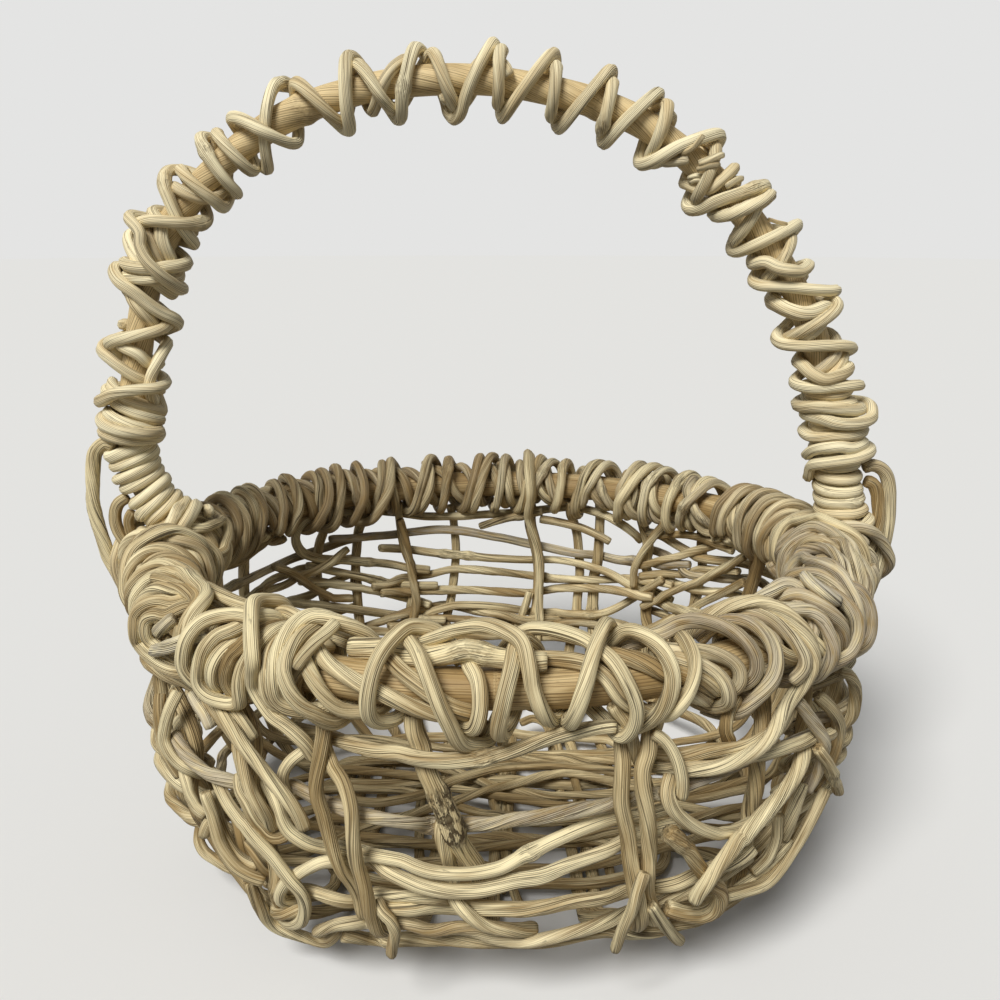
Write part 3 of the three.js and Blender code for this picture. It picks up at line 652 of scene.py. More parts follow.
rowsSeen = {
    "weaver1": [
        [(288, 728, -0.9), (305, 733, -0.9), (325, 738, -0.9), (340, 742, -0.5), (355, 746, 0.1),
         (380, 752, 0.7), (400, 753, 1.1), (414, 757, 1.2), (436, 760, 1.2), (457, 760, 1.1),
         (479, 758, 0.9), (500, 753.5, 0.7), (521, 747, 0.6), (543, 739, 0.6), (564, 733, 0.7),
         (586, 728.5, 0.9), (606, 726, 1.2), (616, 726, 1.3)],
        [(652, 752, -0.9), (668, 756, -0.7), (687, 755, 0.2), (707, 752, 0.8), (727, 750, 1),
         (747, 747, 1.1), (765, 738, 1.3), (780, 727, 1.3), (790, 710, 1.1), (795, 693, 0.8)],
        [(690, 765, 0.1), (717, 762, 0.7), (742, 757, 0.9), (767, 752, 1), (783, 748, 1.1),
         (800, 745, 1.1), (817, 738, 1.1), (830, 733, 1.1)],
        [(318, 740, -0.6), (307, 750, -0.1), (296, 757, 0.2), (287, 767, 0.2), (285, 779, 0),
         (292, 792, -0.5)]],
    "weaver2": [
        [(174, 734, 1.1), (180, 745, 1.1), (187, 756, 1.1), (197, 766, 1.1), (210, 775, 1),
         (225, 780, 0.7), (240, 784, 0.1), (252, 785, -0.7), (270, 785, -0.9), (291, 787, -0.4),
         (305, 795, -0.1), (314, 800, -0.2), (325, 804, -0.6), (335, 806, -0.4), (349, 811, 0.1),
         (367, 816, 0.6), (392, 821, 0.4), (414, 823, 0), (429, 827, -0.8), (450, 826, -1),
         (473, 824, -0.6), (493, 823, 0.3), (514, 820, 0.7), (543, 816, 0.7), (571, 811, 0.4),
         (600, 806, -0.2), (617, 802, -0.8), (635, 798, -1), (650, 793, -0.6), (660, 792, -0.1)],
        [(676, 795, -0.2), (687, 785, 0), (703, 777, 0.5), (723, 770, 0.4), (742, 763, -0.4),
         (760, 757, -0.9), (780, 750, -0.5), (800, 742, 0.2), (820, 732, 0.8)]],
    "weaver3": [
        [(266, 778, -0.8), (272, 792, -0.5), (277, 806, 0.1), (280, 819, 0.3), (286, 830, 0.3),
         (299, 840, 0.1), (311, 846, -0.3), (325, 850, -0.8), (345, 853, -0.9), (358, 855, -0.5),
         (371, 856, 0.4), (386, 859, 0.8), (405, 862, 1.1), (414, 866, 1.3), (429, 871, 1.4),
         (450, 874, 1.4), (471, 874, 1.3), (493, 870, 1.1), (514, 861, 0.9), (536, 850, 0.8),
         (557, 839, 0.7), (579, 829, 0.3), (600, 822, -0.3), (620, 818, -0.9), (640, 815, -1),
         (668, 808, -0.8)]],
    "weaver4": [
        [(334, 859, -0.6), (350, 858, -0.9), (374, 862, 0.1), (386, 871, 0.8), (405, 880, 1.1),
         (421, 886, 1.3), (443, 890, 1.4), (464, 891, 1.3), (486, 889, 1.1), (514, 881, 1),
         (543, 876, 0.9), (564, 867, 0.8), (586, 859, 0.5), (607, 850, 0.2), (625, 840, -0.7),
         (645, 832, -1), (665, 826, -0.6), (690, 820, 0)],
        [(350, 858, -0.9), (334, 859, 0), (322, 861, 0.5), (310, 867, 0.7), (297, 875, 0.8),
         (287, 882, 0.9), (281, 891, 1), (280, 899, 1), (285, 903, 0.8), (294, 904, 0.3)]],
    "weaver5": [
        [(285, 893, -0.2), (309, 892, 0.2), (320, 896, 0.4), (336, 901, 0.6), (350, 904, 0.3),
         (362, 905, -0.2), (377, 904, 0.3), (392, 907, 0.8), (411, 906, 0.9), (430, 905, 0.3),
         (455, 907, -0.3), (470, 905, 0.3), (495, 909, 0.9), (520, 910, 1), (545, 907, 1), (570, 902, 1),
         (600, 898, 0.7), (625, 892, -0.3), (650, 888, -0.4), (675, 885, 0.3), (690, 880, 0.3),
         (710, 872, -0.4), (735, 862, -0.7), (760, 845, -0.2), (785, 820, 0.4)],
        [(375, 897, 0), (400, 899, 0.6), (430, 899, 0.5), (452, 897, -0.2)]],
    "weaver6": [
        [(317, 931, 1), (330, 926, 1), (342, 922, 1), (355, 920, 0.6), (366, 919, 0), (385, 918, 0.2),
         (397, 920, 0.8), (411, 924, 1), (430, 930, 1), (455, 927, 0.6), (475, 930, 0.5), (492, 935, 0.9),
         (520, 940, 1), (550, 937, 0.9), (580, 930, 0.8), (605, 922, 0.4), (625, 915, -0.3),
         (645, 908, -0.5), (665, 900, -0.2), (690, 890, 0.2), (720, 875, 0.3), (750, 855, 0.6)]],
    "weaver7": [
        [(342, 933, 0.7), (355, 935, 0.5), (367, 938, 0.2), (380, 940, 0), (399, 939, 0.2),
         (411, 938, 0.3), (442, 939, 0.4), (480, 941, 0.4), (520, 942, 0.4), (560, 938, 0.4),
         (600, 929, 0.3), (617, 931, 0.1), (633, 931, 0.1), (658, 928, 0.4), (680, 922, 0.6),
         (700, 917, 1), (720, 905, 1), (745, 888, 1), (770, 865, 1), (790, 840, 1)],
        [(249, 880, 1), (255, 892, 1), (264, 906, 1), (274, 921, 1), (286, 934, 1), (300, 943, 0.9),
         (315, 946, 0.9), (327, 944, 0.9), (337, 936, 0.8), (345, 926, 0.3)],
        [(252, 885, 0.2), (262, 899, 0.4), (272, 909, 0.6), (282, 912, 0.9), (292, 911, 1),
         (303, 908, 0.6)]],
}
rowsBehind = {
    "weaver1": [
        [(640, 540, 0.4), (634, 532, -0.6), (620, 522, -0.9), (604, 514, -0.8), (580, 508, -0.2),
         (560, 507, 0.5), (538, 510, 0.9), (520, 511, 0.7), (482, 514, -0.4), (455, 515, -0.9),
         (425, 516, -0.2), (392, 512, 0.8), (360, 510, 0.3), (330, 515, -0.8), (305, 520, -0.9),
         (296, 535, -0.8), (302, 552, -0.6), (320, 559, -0.9), (345, 560, -0.6), (370, 562, -0.2),
         (395, 565, 0.5), (414, 568, -0.8), (430, 570, -0.9)],
        [(480, 526, -0.2), (500, 520, -0.8), (520, 515, -1.2), (542, 511, -1)],
        [(540, 519, -0.9), (560, 522, -0.8), (580, 527, -0.6), (600, 536, -0.9), (610, 542, -0.9)]],
    "weaver2": [
        [(330, 539, -0.7), (360, 537, -0.6), (392, 535, 0.5), (415, 532, 0.5), (437, 529, -0.5),
         (470, 532, -0.6), (495, 537, -0.2), (532, 545, 0.8), (560, 550, -0.2), (580, 554, -0.6),
         (600, 557, 0.2), (620, 560, -0.6), (640, 562, 0.4), (660, 566, -0.7), (690, 566, -0.8)]],
    "weaver3": [
        [(380, 548, -0.8), (407, 550, 0.5), (432, 552, -0.5), (470, 556, -0.6), (507, 559, 0.1),
         (546, 560, 0.9), (570, 561, -0.2), (592, 566, -0.7), (610, 572, -0.7), (628, 582, -0.5),
         (650, 590, 0.6), (672, 600, 0.2)],
        [(308, 566, -0.7), (325, 570, -0.7), (355, 575, -0.6), (380, 580, -0.2), (400, 583, 0.5),
         (418, 585, -0.8), (438, 586, -0.9)]],
    "weaver4": [
        [(372, 588, -0.9), (388, 586, -0.6), (405, 582, 0.5), (432, 575, -0.5), (455, 569, -0.7),
         (490, 571, -0.6), (532, 576, 0.8), (548, 578, 0.4), (570, 579, -0.6), (592, 580, -0.4),
         (612, 580, 0.2), (650, 583, -0.7), (672, 586, -0.8)],
        [(287, 602, -0.3), (325, 606, -0.6), (360, 610, -0.5), (400, 616, 0.5), (420, 618, -0.7),
         (445, 619, -0.9)],
        [(300, 580, -0.9), (320, 582, -0.4), (355, 587, -0.6), (382, 592, -0.4), (412, 601, 0.5),
         (430, 606, -0.6)]],
    "weaver5": [
        [(380, 592, -0.8), (405, 589, -0.2), (445, 589, -0.6), (482, 590, -0.5), (527, 594, 0.6),
         (546, 590, 0.8), (566, 587, -0.2), (590, 588, -0.6), (620, 590, -0.7), (655, 594, -0.7)],
        [(388, 626, -0.8), (415, 620, 0.1), (440, 610, -0.6), (457, 605, -0.7), (495, 607, -0.2),
         (527, 612, 0.8), (548, 614, 0.6), (576, 615, -0.5), (600, 614, -0.5), (616, 608, -0.2),
         (634, 598, 0.4), (650, 588, -0.6), (664, 578, -0.9)]],
    "weaver6": [
        [(427, 617, -0.6), (457, 620, -0.6), (490, 622, -0.1), (527, 620, 0.7), (548, 622, 0.4),
         (570, 621, -0.6), (592, 624, -0.6), (610, 630, -0.3), (622, 642, 0.2), (640, 650, -0.6)],
        [(350, 628, -0.7), (375, 630, -0.5), (402, 631, -0.3), (424, 626, 0.4), (450, 622, -0.7)]],
}

weavers = {
    "passes": "ioioioioioiooioioioioio",
    "swapped": ("weaver6", "weaver8"),
    "lift": 1.03,          # layers from the middle of a rib to the middle of a weaver
    "stray": 3.0,          # how far a row may leave its height between ribs
    "meanRadius": 143,     # of the rim
    "beside": 3.1,         # how far beside a rib a row has reached the side on which it passes
    "sides": {"weaver6": ((8, 26),), "weaver7": ((8, 26),), "weaver8": ((8, 26),)},
    "usualSides": ((8, 15), (19, 26)),     # posts that a row laid by rule passes, first and last + 1
}


def rowHeight(places, azimuth):
    a = np.array([p[0] for p in places], float)
    h = np.array([p[1] for p in places], float)
    i = np.clip(np.searchsorted(a, azimuth, side="right") - 1, 0, len(a) - 2)
    share = smoothStep((azimuth - a[i]) / (a[i + 1] - a[i]), 0, 1)
    return wallHeight * (h[i] + (h[i + 1] - h[i]) * share) + baseHeight


def rowPlaces(row, posts, first, swapped):
    # In and out of the ribs, at a height that strays a little
    places = []
    passes = weavers["passes"]
    for i, post in enumerate(posts):
        guess = float(rowHeight(row["places"], post[0][1]))
        spots = [float(ribAzimuth(end, guess)) for end in post]
        out = passes[(first + i) % len(passes)] == "o"
        side = 1 if out != swapped else -1
        height = float(rowHeight(row["places"], sum(spots) / len(spots)))
        girth = weavers["meanRadius"] - float(wallInset(height - baseHeight))
        reach = math.degrees(weavers["beside"] / girth)
        stray = rng.uniform(-1, 1) * weavers["stray"]
        for azimuth in (min(spots) - reach, max(spots) + reach):
            level = max(float(rowHeight(row["places"], azimuth)) + stray, baseHeight + 2)
            places.append((azimuth, level, side * weavers["lift"]))
    # an end is hidden: inside at the front, outside at the back
    for end in (0, 1, -1, -2):
        azimuth, level, _ = places[end]
        behind = 100 < azimuth % 360 < 260
        places[end] = (azimuth, level, weavers["lift"] * (1 if behind else -1))
    return places


def layWeavers():
    around = posts + [[tuple(a + 360 for a in end) for end in post] for post in posts[:3]]
    for name, row in weaverRows.items():
        for pictured, behind in ((rowsSeen, False), (rowsBehind, True)):
            for spots in pictured.get(name, ()):
                # vines seen inside the back wall are made 0.2 darker in tone: painted shade of the inside of
                # the basket
                tone = row["tone"] + rng.uniform(-0.15, 0.1)
                strand(name, onWall(wallSeen(spots, behind)), basket["vineRadius"] * rng.uniform(0.85, 0.97),
                       tone=tone - 0.2 * behind, grey=row["grey"] * rng.uniform(0.6, 1),
                       knots=row.get("knots", ()) + tuple(rng.uniform(15, 300, 1)), wave=0.3,
                       ridges=1.1, weight=5)
        for first, last in weavers["sides"].get(name, weavers["usualSides"]):
            places = rowPlaces(row, around[first:last], first, name in weavers["swapped"])
            strand(name, onWall(places), basket["vineRadius"] * rng.uniform(0.88, 1), tone=row["tone"] - 0.15,
                   grey=row["grey"] * 0.5, knots=tuple(rng.uniform(30, 400, 3)), wave=1.4, ridges=1.1)
    print("laid the weavers")


baseRing = {
    "halfWidth": 80,
    "halfDepth": 66,
    "squareness": 4,
    "radius": 2.6,
    "heights": (3, 8.6),       # under the cross ribs, and over the long ribs at the front and the back
    "climb": (54, 60),
}


def layBaseRing():
    x, y = ovalXY(baseRing["halfWidth"], baseRing["halfDepth"], baseRing["squareness"],
                  np.arange(0, 360, 2.0))
    low, high = baseRing["heights"]
    lift = low + (high - low) * smoothStep(np.abs(y), *baseRing["climb"])
    strand("baseRing", np.stack([x, y, lift], axis=1), baseRing["radius"], tone=0.35, closed=True, wave=0.5)
    print("laid the ring in the base")


# Vines bound round the rim at the front, listed one by one. Places are azimuth, turn and layer, where
# layer 1 touches the rod. A run is where a vine leaves the rim and goes on over the wall.

rimVines = {
    "radius": 2.65,
    "backLoops": 25,       # turns of each of the four vines behind
    "backFrom": (68, 292),
    # pale flat vine from over the back rim down inside the wall: round the rim, then down the wall
    "strap": [(174, 100, 2), (173.5, 60, 2.2), (173, 20, 2.4), (172.5, -20, 2.4), (172, -60, 2.4),
              (171.5, -95, 2.3)],
    "strapDown": [(527, 508, -1.6), (532, 526, -1.4), (538, 548, -1.3), (540, 568, -1.2), (538, 592, -1.1),
                  (537, 622, -1)],
    "tuck": 55,            # degrees round the rod for each of the three steps in which an end tucks in
}
# From the left lashing towards the right one
rimFront = [
    bent(0.7, (-60, 20, 2.4), (-54, 5, 2.2), (-46, -25, 2), (-36, -35, 2), (-26, -30, 1.6),
            (-20, -35, 1.2)),
    bent(0.4, (-27, -20, 1), (-28.5, 40, 1), (-28.5, 80, 1), (-28, 120, 1.2), (-25.5, 160, 1.4)),
    bent(0.85, (-17, -70, 1.2), (-20.5, -25, 2), (-25.5, 0, 2.3), (-27, 35, 2.2), (-27, 75, 2.2),
            (-27, 110, 2), (-24, 150, 1.7), (-21, 180, 1.4), (-17, 230, 1.2), radius=2.9),
    bent(0.8, (-25.5, -50, 1), (-25, 10, 1), (-23.5, 55, 1.1), (-21.5, 95, 1.2), (-19.5, 135, 1.2),
            (-16.5, 175, 1.1), (-14, 230, 1)),
    bent(0.7, (-24.5, 60, 1.9), (-23.2, 32, 2.2), (-22, 10, 2.5), (-21.4, 0, 2.9), radius=2.2),
    bent(0.75, (-25, 20, 1), (-22, 45, 1), (-18, 66, 1), (-13.5, 88, 1), (-9, 112, 1), (-5, 140, 1),
            radius=2.7),
    bent(0.8, (-5, -70, 1.1), (-7.5, -35, 2), (-11.5, -5, 2.5), (-14, 30, 2.2), (-15, 75, 2),
            (-15, 120, 1.8), (-13, 175, 1.3), (-11, 230, 1)),
    bent(0.45, (-14, -10, 1), (-12, 30, 1), (-9, 65, 1), (-6, 95, 1.1), (-3, 120, 1), radius=2.9,
            ridges=1.8),
    bent(0.85, (-14, -60, 1), (-12, -5, 1.7), (-9.5, 30, 2), (-7.5, 65, 2), (-5.8, 105, 2), (-4, 150, 2.6),
            (-1, 180, 2.8), (1, 215, 2), (3, 260, 1)),
    bent(0.75, (-20, -15, 1), (-14, -12, 1.2), (-8, -5, 1.2), (-3, 5, 1.1), (2, 8, 1.1), (6.2, 12, 1.1),
            radius=3.6, ridges=1.5, knots=(42, 48)),
    bent(0.9, (-13, -60, 1), (-9.5, -15, 2), (-5, -8, 2.9), (-1.5, -2, 3.2), (2, 12, 2.6), (3.2, 35, 2),
            (4, 65, 1.3), (5, 100, 1.2), (6.5, 145, 1.2), (9, 200, 1)),
    bent(0.7, (-4.5, -40, 1), (-3.7, 10, 1), (-2.6, 45, 1.1), (-2.5, 85, 1.1), (-3.5, 125, 1.1),
            (-5, 165, 1.1), (-8, 220, 1)),
    bent(0.85, (7, -80, 1.2), (5, -35, 2), (3, -5, 2.6), (1.8, 35, 2.2), (0.6, 80, 2.1), (0, 130, 2),
            (1, 185, 1.6), (2.5, 235, 1)),
    bent(0.8, (-1, -80, 1), (2.5, -35, 2.2), (6.5, -15, 2.7), (11, 0, 2.4), (13.5, 25, 2), (15, 60, 2),
            (16.3, 100, 2), (16, 145, 2), (14.5, 175, 1.4), (12, 220, 1)),
    bent(0.5, (4.5, -5, 1), (8, 5, 1), (11, 25, 1), (13, 55, 1), (14.5, 90, 1), (16.5, 120, 1), radius=2.8,
            ridges=1.8),
    bent(0.8, (17, -80, 1.2), (16, -30, 2.2), (14, -5, 2.7), (11.8, 25, 2.2), (10.2, 60, 2), (9, 95, 2),
            (8.6, 135, 1.8), (10, 190, 1.2), (12, 240, 1)),
    bent(0.4, (12, -25, 1), (16, 5, 1), (19, 30, 1), (22, 60, 1), (25.5, 88, 1), (29, 120, 1), radius=3.1,
            ridges=1.8),
    bent(0.8, (14, -90, 1), (15.6, -35, 2), (17.5, -5, 2.6), (20, 25, 2.3), (20.6, 60, 2.1),
            (19.5, 100, 2), (17.8, 140, 2), (17, 163, 2.3)),
    bent(0.75, (27, -60, 1), (25, -15, 1.6), (24.2, 15, 2), (24, 50, 2), (22.8, 85, 2), (21.2, 120, 1.9),
            (20, 160, 1.3), (18, 215, 1), radius=2.4),
    bent(0.6, (17, -50, 1), (21, -10, 1.6), (26, -3, 2.4), (30, 10, 2.2), (32.5, 35, 1.8), (34, 70, 1.4),
            (34, 110, 1.2), (32, 160, 1), grey=0.4),
    bent(0.75, (20, 5, 1), (24, 25, 1.1), (28.5, 45, 1.2), (31, 72, 1.2), (31.5, 110, 1.2), (30, 160, 1),
            grey=0.2),
    bent(0.7, (21.5, 35, 1), (24.5, 48, 1), (27, 72, 1), (28.3, 105, 1.1), (29, 150, 1.2), (27, 200, 1),
            grey=0.2),
    bent(0.6, (21.5, 72, 1), (24, 85, 1), (26.5, 115, 1), (29, 150, 1), grey=0.2, ridges=1.6),
    bent(0.8, (28, -80, 1), (30.5, -40, 1.8), (34.5, -12, 2.6), (38, 8, 2.5), (40.5, 35, 2.3),
            (42, 65, 2.2), (42.8, 95, 2.2), (42, 125, 2.4), (40.5, 147, 3.2), grey=0.1,
            run=[(38, 115, 1.6), (34, 109.5, 1.9), (30, 107, 1.7), (26, 106, 1.3), (22.5, 104, -0.6),
            (17, 101, -1.2)]),
    bent(0.55, (30, -50, 1), (33, -10, 1.8), (35.5, 20, 1.9), (36.6, 55, 1.8), (36, 90, 1.9), (34, 125, 2),
            (31.5, 155, 2.2), (29, 185, 2), grey=0.45),
    bent(0.5, (33, -35, 1), (35, 0, 1.2), (37.8, 25, 1.2), (38.7, 60, 1.1), (38, 95, 1.1), (36, 130, 1.2),
            (33, 170, 1.1), grey=0.4),
    bent(0.6, (34, -60, 1), (37, -10, 1.8), (39.5, 25, 1.6), (41, 60, 1.5), (41.5, 95, 1.5),
            (41, 128, 1.6), grey=0.3, ridges=1.5),
    bent(0.55, (36, 95, 1.1), (36.8, 120, 1.2), (38.5, 150, 1.3), grey=0.3),
    bent(0.55, (38, -70, 1), (43, -25, 2), (48, -8, 2.4), (52.5, 20, 2.4), (54.5, 55, 2.3),
            (54.5, 90, 2.3), (52.5, 130, 2.1), (48, 165, 1.8), (44, 200, 1.3), grey=0.5),
    bent(0.65, (40, -40, 1), (44, 0, 1.1), (47, 35, 1.1), (50.5, 70, 1.2), (51, 105, 1.3), (49, 135, 1.3),
            grey=0.2),
    bent(0.7, (40, 20, 1), (44, 35, 1), (48, 65, 1), (48.5, 100, 1), (47, 125, 1.1), knots=(8, 22)),
    bent(0.5, (52, -60, 1), (56, -15, 1.8), (59, 20, 2.2), (60.5, 60, 2.2), (60, 100, 2.1), (57, 150, 1.7),
            (53, 200, 1.1), grey=0.5),
    bent(0.45, (46, -60, 1), (51, -10, 1.3), (55, 30, 1.2), (57, 75, 1.1), (56, 120, 1.1), (53, 180, 1),
            grey=0.5),
]
# Laid by points of the picture; both ends tuck round the rod
rimPictured = [
    bent(0.85, (262, 611, 2.4), (254, 607, 2.6), (251, 622, 2.7), (252, 642, 2.7), (255, 662, 2.6),
            run=[(260, 684, 1.6), (265, 692, 1.4), (274, 702, 1.2), (286, 715, 1.2), (299, 729, 1.1),
            (311, 742, 0.9), (319, 756, 0.3)]),
    bent(0.85, (250, 620, 2.1), (235, 619, 2.2), (220, 619, 2.3), (205, 624, 2.4), (194, 636, 2.4),
            (187, 651, 2.4), (186, 668, 2.4), (190, 684, 2.3), (200, 696, 2.2), (213, 703, 2)),
    bent(0.8, (236, 631, 1.9), (220, 636, 2), (208, 647, 2.1), (203, 662, 2.1), (204, 678, 2.1),
            (212, 691, 2), (226, 701, 1.9), (240, 705, 1.7)),
    bent(0.3, (243, 650, 1.3), (232, 655, 1.4), (224, 665, 1.5), (221, 678, 1.5), (225, 690, 1.4)),
    bent(0.45, (250, 646, 1), (243, 660, 1.1), (238, 676, 1.2), (236, 692, 1.1)),
    bent(0.3, (277, 640, 1), (268, 652, 1.1), (263, 668, 1.2), (264, 684, 1.1)),
    bent(0.85, (310, 630, 2.2), (297, 640, 2.4), (289, 655, 2.5), (287, 672, 2.5), (291, 689, 2.4),
            (301, 703, 2.2), (316, 712, 1.9)),
    bent(0.5, (282, 652, 1.1), (276, 668, 1.2), (277, 686, 1.2), (285, 700, 1.1)),
    bent(0.55, (232, 690, 1.2), (246, 694, 1.1), (262, 700, 1.1), (276, 708, 1)),
    bent(0.4, (206, 652, 1.1), (214, 664, 1), (219, 682, 1), (230, 694, 1)),
]


def tuckIn(places, low=1.0):
    # Carries both ends of a vine on round what it is wound on, down to the lowest layer
    out = [tuple(p) for p in places]
    for end in (0, -1):
        near, beside = (places[0], places[1]) if end == 0 else (places[-1], places[-2])
        way = 1 if near[1] > beside[1] else -1
        slope = np.clip((near[0] - beside[0]) / max(abs(near[1] - beside[1]), 8), -0.04, 0.04)
        for k in (1, 2, 3):
            turn = rimVines["tuck"] * k
            share = 1 - k / 3
            place = (near[0] + slope * turn * 0.6, near[1] + way * turn, low + (near[2] - low) * share)
            out.insert(0 if end == 0 else len(out), place)
    return out


def layRimVines():
    for i, vine in enumerate(rimFront):
        line = onRimLayer(vine["points"])
        if "run" in vine:
            line = np.vstack([line, onWall(vine["run"])])
            line = smoothLine(line[::8])
        layVine("rimBindingFront" if i % 2 else "rimCrossingFront", line, vine, rimVines["radius"], wave=0.4)
    for i, vine in enumerate(rimPictured):
        tucked = tuckIn(rimSeen(vine["points"]))
        if "run" in vine:
            line = np.vstack([onRimLayer(tucked[:-3]), onWall(wallSeen(vine["run"]))])
            line = smoothLine(evenLine(line, 7), fine=4)
        else:
            line = onRimLayer(tucked)
        layVine("rimCrossingFront" if i % 2 else "rimBindingFront", line, vine, rimVines["radius"], wave=0.2)
    layBackRim()
    print("bound the rim")


def layBackRim():
    # Crossed turns behind, from lashing to lashing, two vines of each hand
    first, last = rimVines["backFrom"]
    for hand, start in ((1, 0), (-1, 30), (1, 175), (-1, 220)):
        piece = "rimBindingBack" if hand > 0 else "rimCrossingBack"
        loops = rimVines["backLoops"] + int(rng.integers(-1, 2))
        places = []
        drift = 0
        for k in range(loops * 8 + 1):
            turn = hand * 360 * k / 8 + start
            drift = 0.92 * drift + rng.uniform(-0.4, 0.4)
            azimuth = first + k / (loops * 8) * (last - first) + 2.2 * math.sin(k * 0.23 + hand * start)
            azimuth += drift
            crossing = math.cos(math.radians(turn)) ** 2
            layer = 1.05 if hand > 0 else 1.15 + 0.8 * crossing
            places.append((azimuth, turn, layer + 0.25 * math.sin(k * 0.21 + start)))
        line = onRimLayer(places)
        # cut into several vines, each about as long as a real one
        cuts = np.linspace(0, len(line) - 1, 5).astype(int)
        for a, b in zip(cuts[:-1], cuts[1:]):
            strand(piece, line[a:b + 1], rimVines["radius"] * rng.uniform(0.92, 1.05),
                   tone=rng.uniform(0.3, 0.75), grey=rng.uniform(0, 0.3),
                   knots=tuple(rng.uniform(20, 500, 3)), wave=0.6)
    line = np.vstack([onRimLayer(rimVines["strap"]), onWall(wallSeen(rimVines["strapDown"], True))])
    strand("rimBindingBack", smoothLine(evenLine(line, 7), fine=4), 3.1, tone=0.75, oval=0.25, wave=0.3)


# Handle: two vines of opposite hand cross over and under the rod all the way, so that their front
# passes make a zigzag. A pass is where it leaves one edge and where it reaches the other.

handleWraps = {
    "radius": 2.6,
    # start and end along the rod, and the turns between them
    "inner": {
        "handleWrap": [(196, 222, 0.9), (330, 352, 0.8), (522, 548, 1.2)],
        "handleCrossing": [(176, 196, 0.9), (292, 312, 0.7), (416, 436, 0.8)],
    },
    "rising": [(104, 113), (118, 133), (149, 166), (163, 178), (190, 208), (222, 226), (240, 262),
               (283, 291), (306, 317), (331, 347), (353, 370), (379, 393), (400, 412), (421, 440),
               (450, 468), (480, 488), (497, 521), (528, 543), (551, 560)],
    "falling": [(116, 107), (133, 149), (163, 170), (184, 202), (212, 213), (232, 234), (240, 257),
                (268, 281), (293, 305), (323, 331), (349, 351), (371, 374), (394, 397), (417, 423),
                (442, 452), (469, 476), (489, 500), (522, 530), (545, 555)],
}
# Single passes by points of the picture, with both ends tucked round the rod
handlePictured = [
    bent(0.8, (166, 345, 1.5), (160, 353, 1.6), (154, 365, 1.6), (151, 378, 1.5), (152, 390, 1.5),
            (157, 402, 1.4), (163, 412, 1.2)),
    bent(0.75, (145, 387, 1.8), (130, 389, 1.9), (115, 392, 1.9), (104, 398, 1.8)),
    bent(0.85, (108, 424, 1.7), (125, 427, 1.8), (145, 429, 1.8), (160, 428, 1.8), (167, 422, 1.6)),
    bent(0.85, (106, 433, 1.7), (120, 437, 1.8), (140, 438, 1.8), (156, 434, 1.8)),
    bent(0.85, (133, 268, 1.6), (150, 271, 1.7), (168, 266, 1.8), (180, 264, 1.8)),
    bent(0.8, (143, 233, 2), (142, 246, 2), (147, 260, 2.1), (157, 271, 2.1), (168, 281, 2),
            (178, 288, 1.9)),
    bent(0.6, (130, 288, 1.1), (138, 302, 1.2), (148, 315, 1.2), (158, 326, 1.1)),
    bent(0.6, (128, 349, 1.1), (138, 354, 1.2), (148, 363, 1.2)),
    bent(0.75, (158, 224, 1.1), (160, 240, 1.3), (166, 255, 1.3), (172, 266, 1.2)),
    bent(0.45, (688, 184, 1), (698, 190, 1.1), (708, 190, 1.1), (717, 184, 1)),
    bent(0.85, (716, 216, 1.3), (730, 214, 1.6), (745, 208, 1.8), (758, 202, 1.6)),
    bent(0.75, (765, 262, 1.3), (778, 268, 1.5), (790, 271, 1.6), (802, 272, 1.3)),
    bent(0.85, (776, 302, 1.3), (790, 310, 1.5), (803, 314, 1.5), (812, 314, 1.3), radius=3.2),
    bent(0.8, (802, 364, 1.2), (812, 372, 1.4), (824, 378, 1.4), (832, 374, 1.2)),
    bent(0.9, (803, 410, 1.8), (820, 408, 2), (840, 410, 2), (858, 412, 1.9)),
    bent(0.9, (822, 419, 1.7), (838, 424, 2.2), (856, 424, 2.5), (870, 419, 2.6), (873, 411, 2.4)),
    bent(0.7, (805, 429, 1.6), (815, 437, 1.8), (832, 438, 1.8), (855, 436, 1.7)),
    bent(0.85, (803, 449, 1.6), (818, 446, 1.8), (838, 442, 1.9), (851, 446, 1.8)),
    bent(0.9, (800, 468, 1.6), (815, 464, 1.8), (835, 460, 2), (853, 457, 2.1), (866, 450, 2)),
    # torn bark and a short spur near the right shoulder, with bare ends
    bent(0.35, (680, 150, 1), (691, 146, 1.5), (697, 140, 2), (702, 133, 2.5), radius=1.2, bare=True),
    bent(0.7, (697, 166, 1.2), (708, 162, 1.3), (719, 158, 1.2), radius=1.5, bare=True),
    bent(0.45, (695, 171, 1.1), (706, 168, 1.2), (717, 167, 1.1), radius=1.1, bare=True),
    bent(0.8, (690, 178, 1.1), (699, 175, 1.2), (709, 179, 1.1), radius=1.2, bare=True),
    bent(0.6, (692, 186, 1.1), (700, 183, 1.2), (708, 187, 1.1), radius=1, bare=True),
    bent(0.75, (725, 186, 1.1), (733, 181, 1.2), (741, 178, 1.1), radius=1.4, bare=True),
    bent(0.15, (768, 219, 0.9), (778, 222, 1.3), (787, 224, 1.8), radius=0.8, bare=True),
]


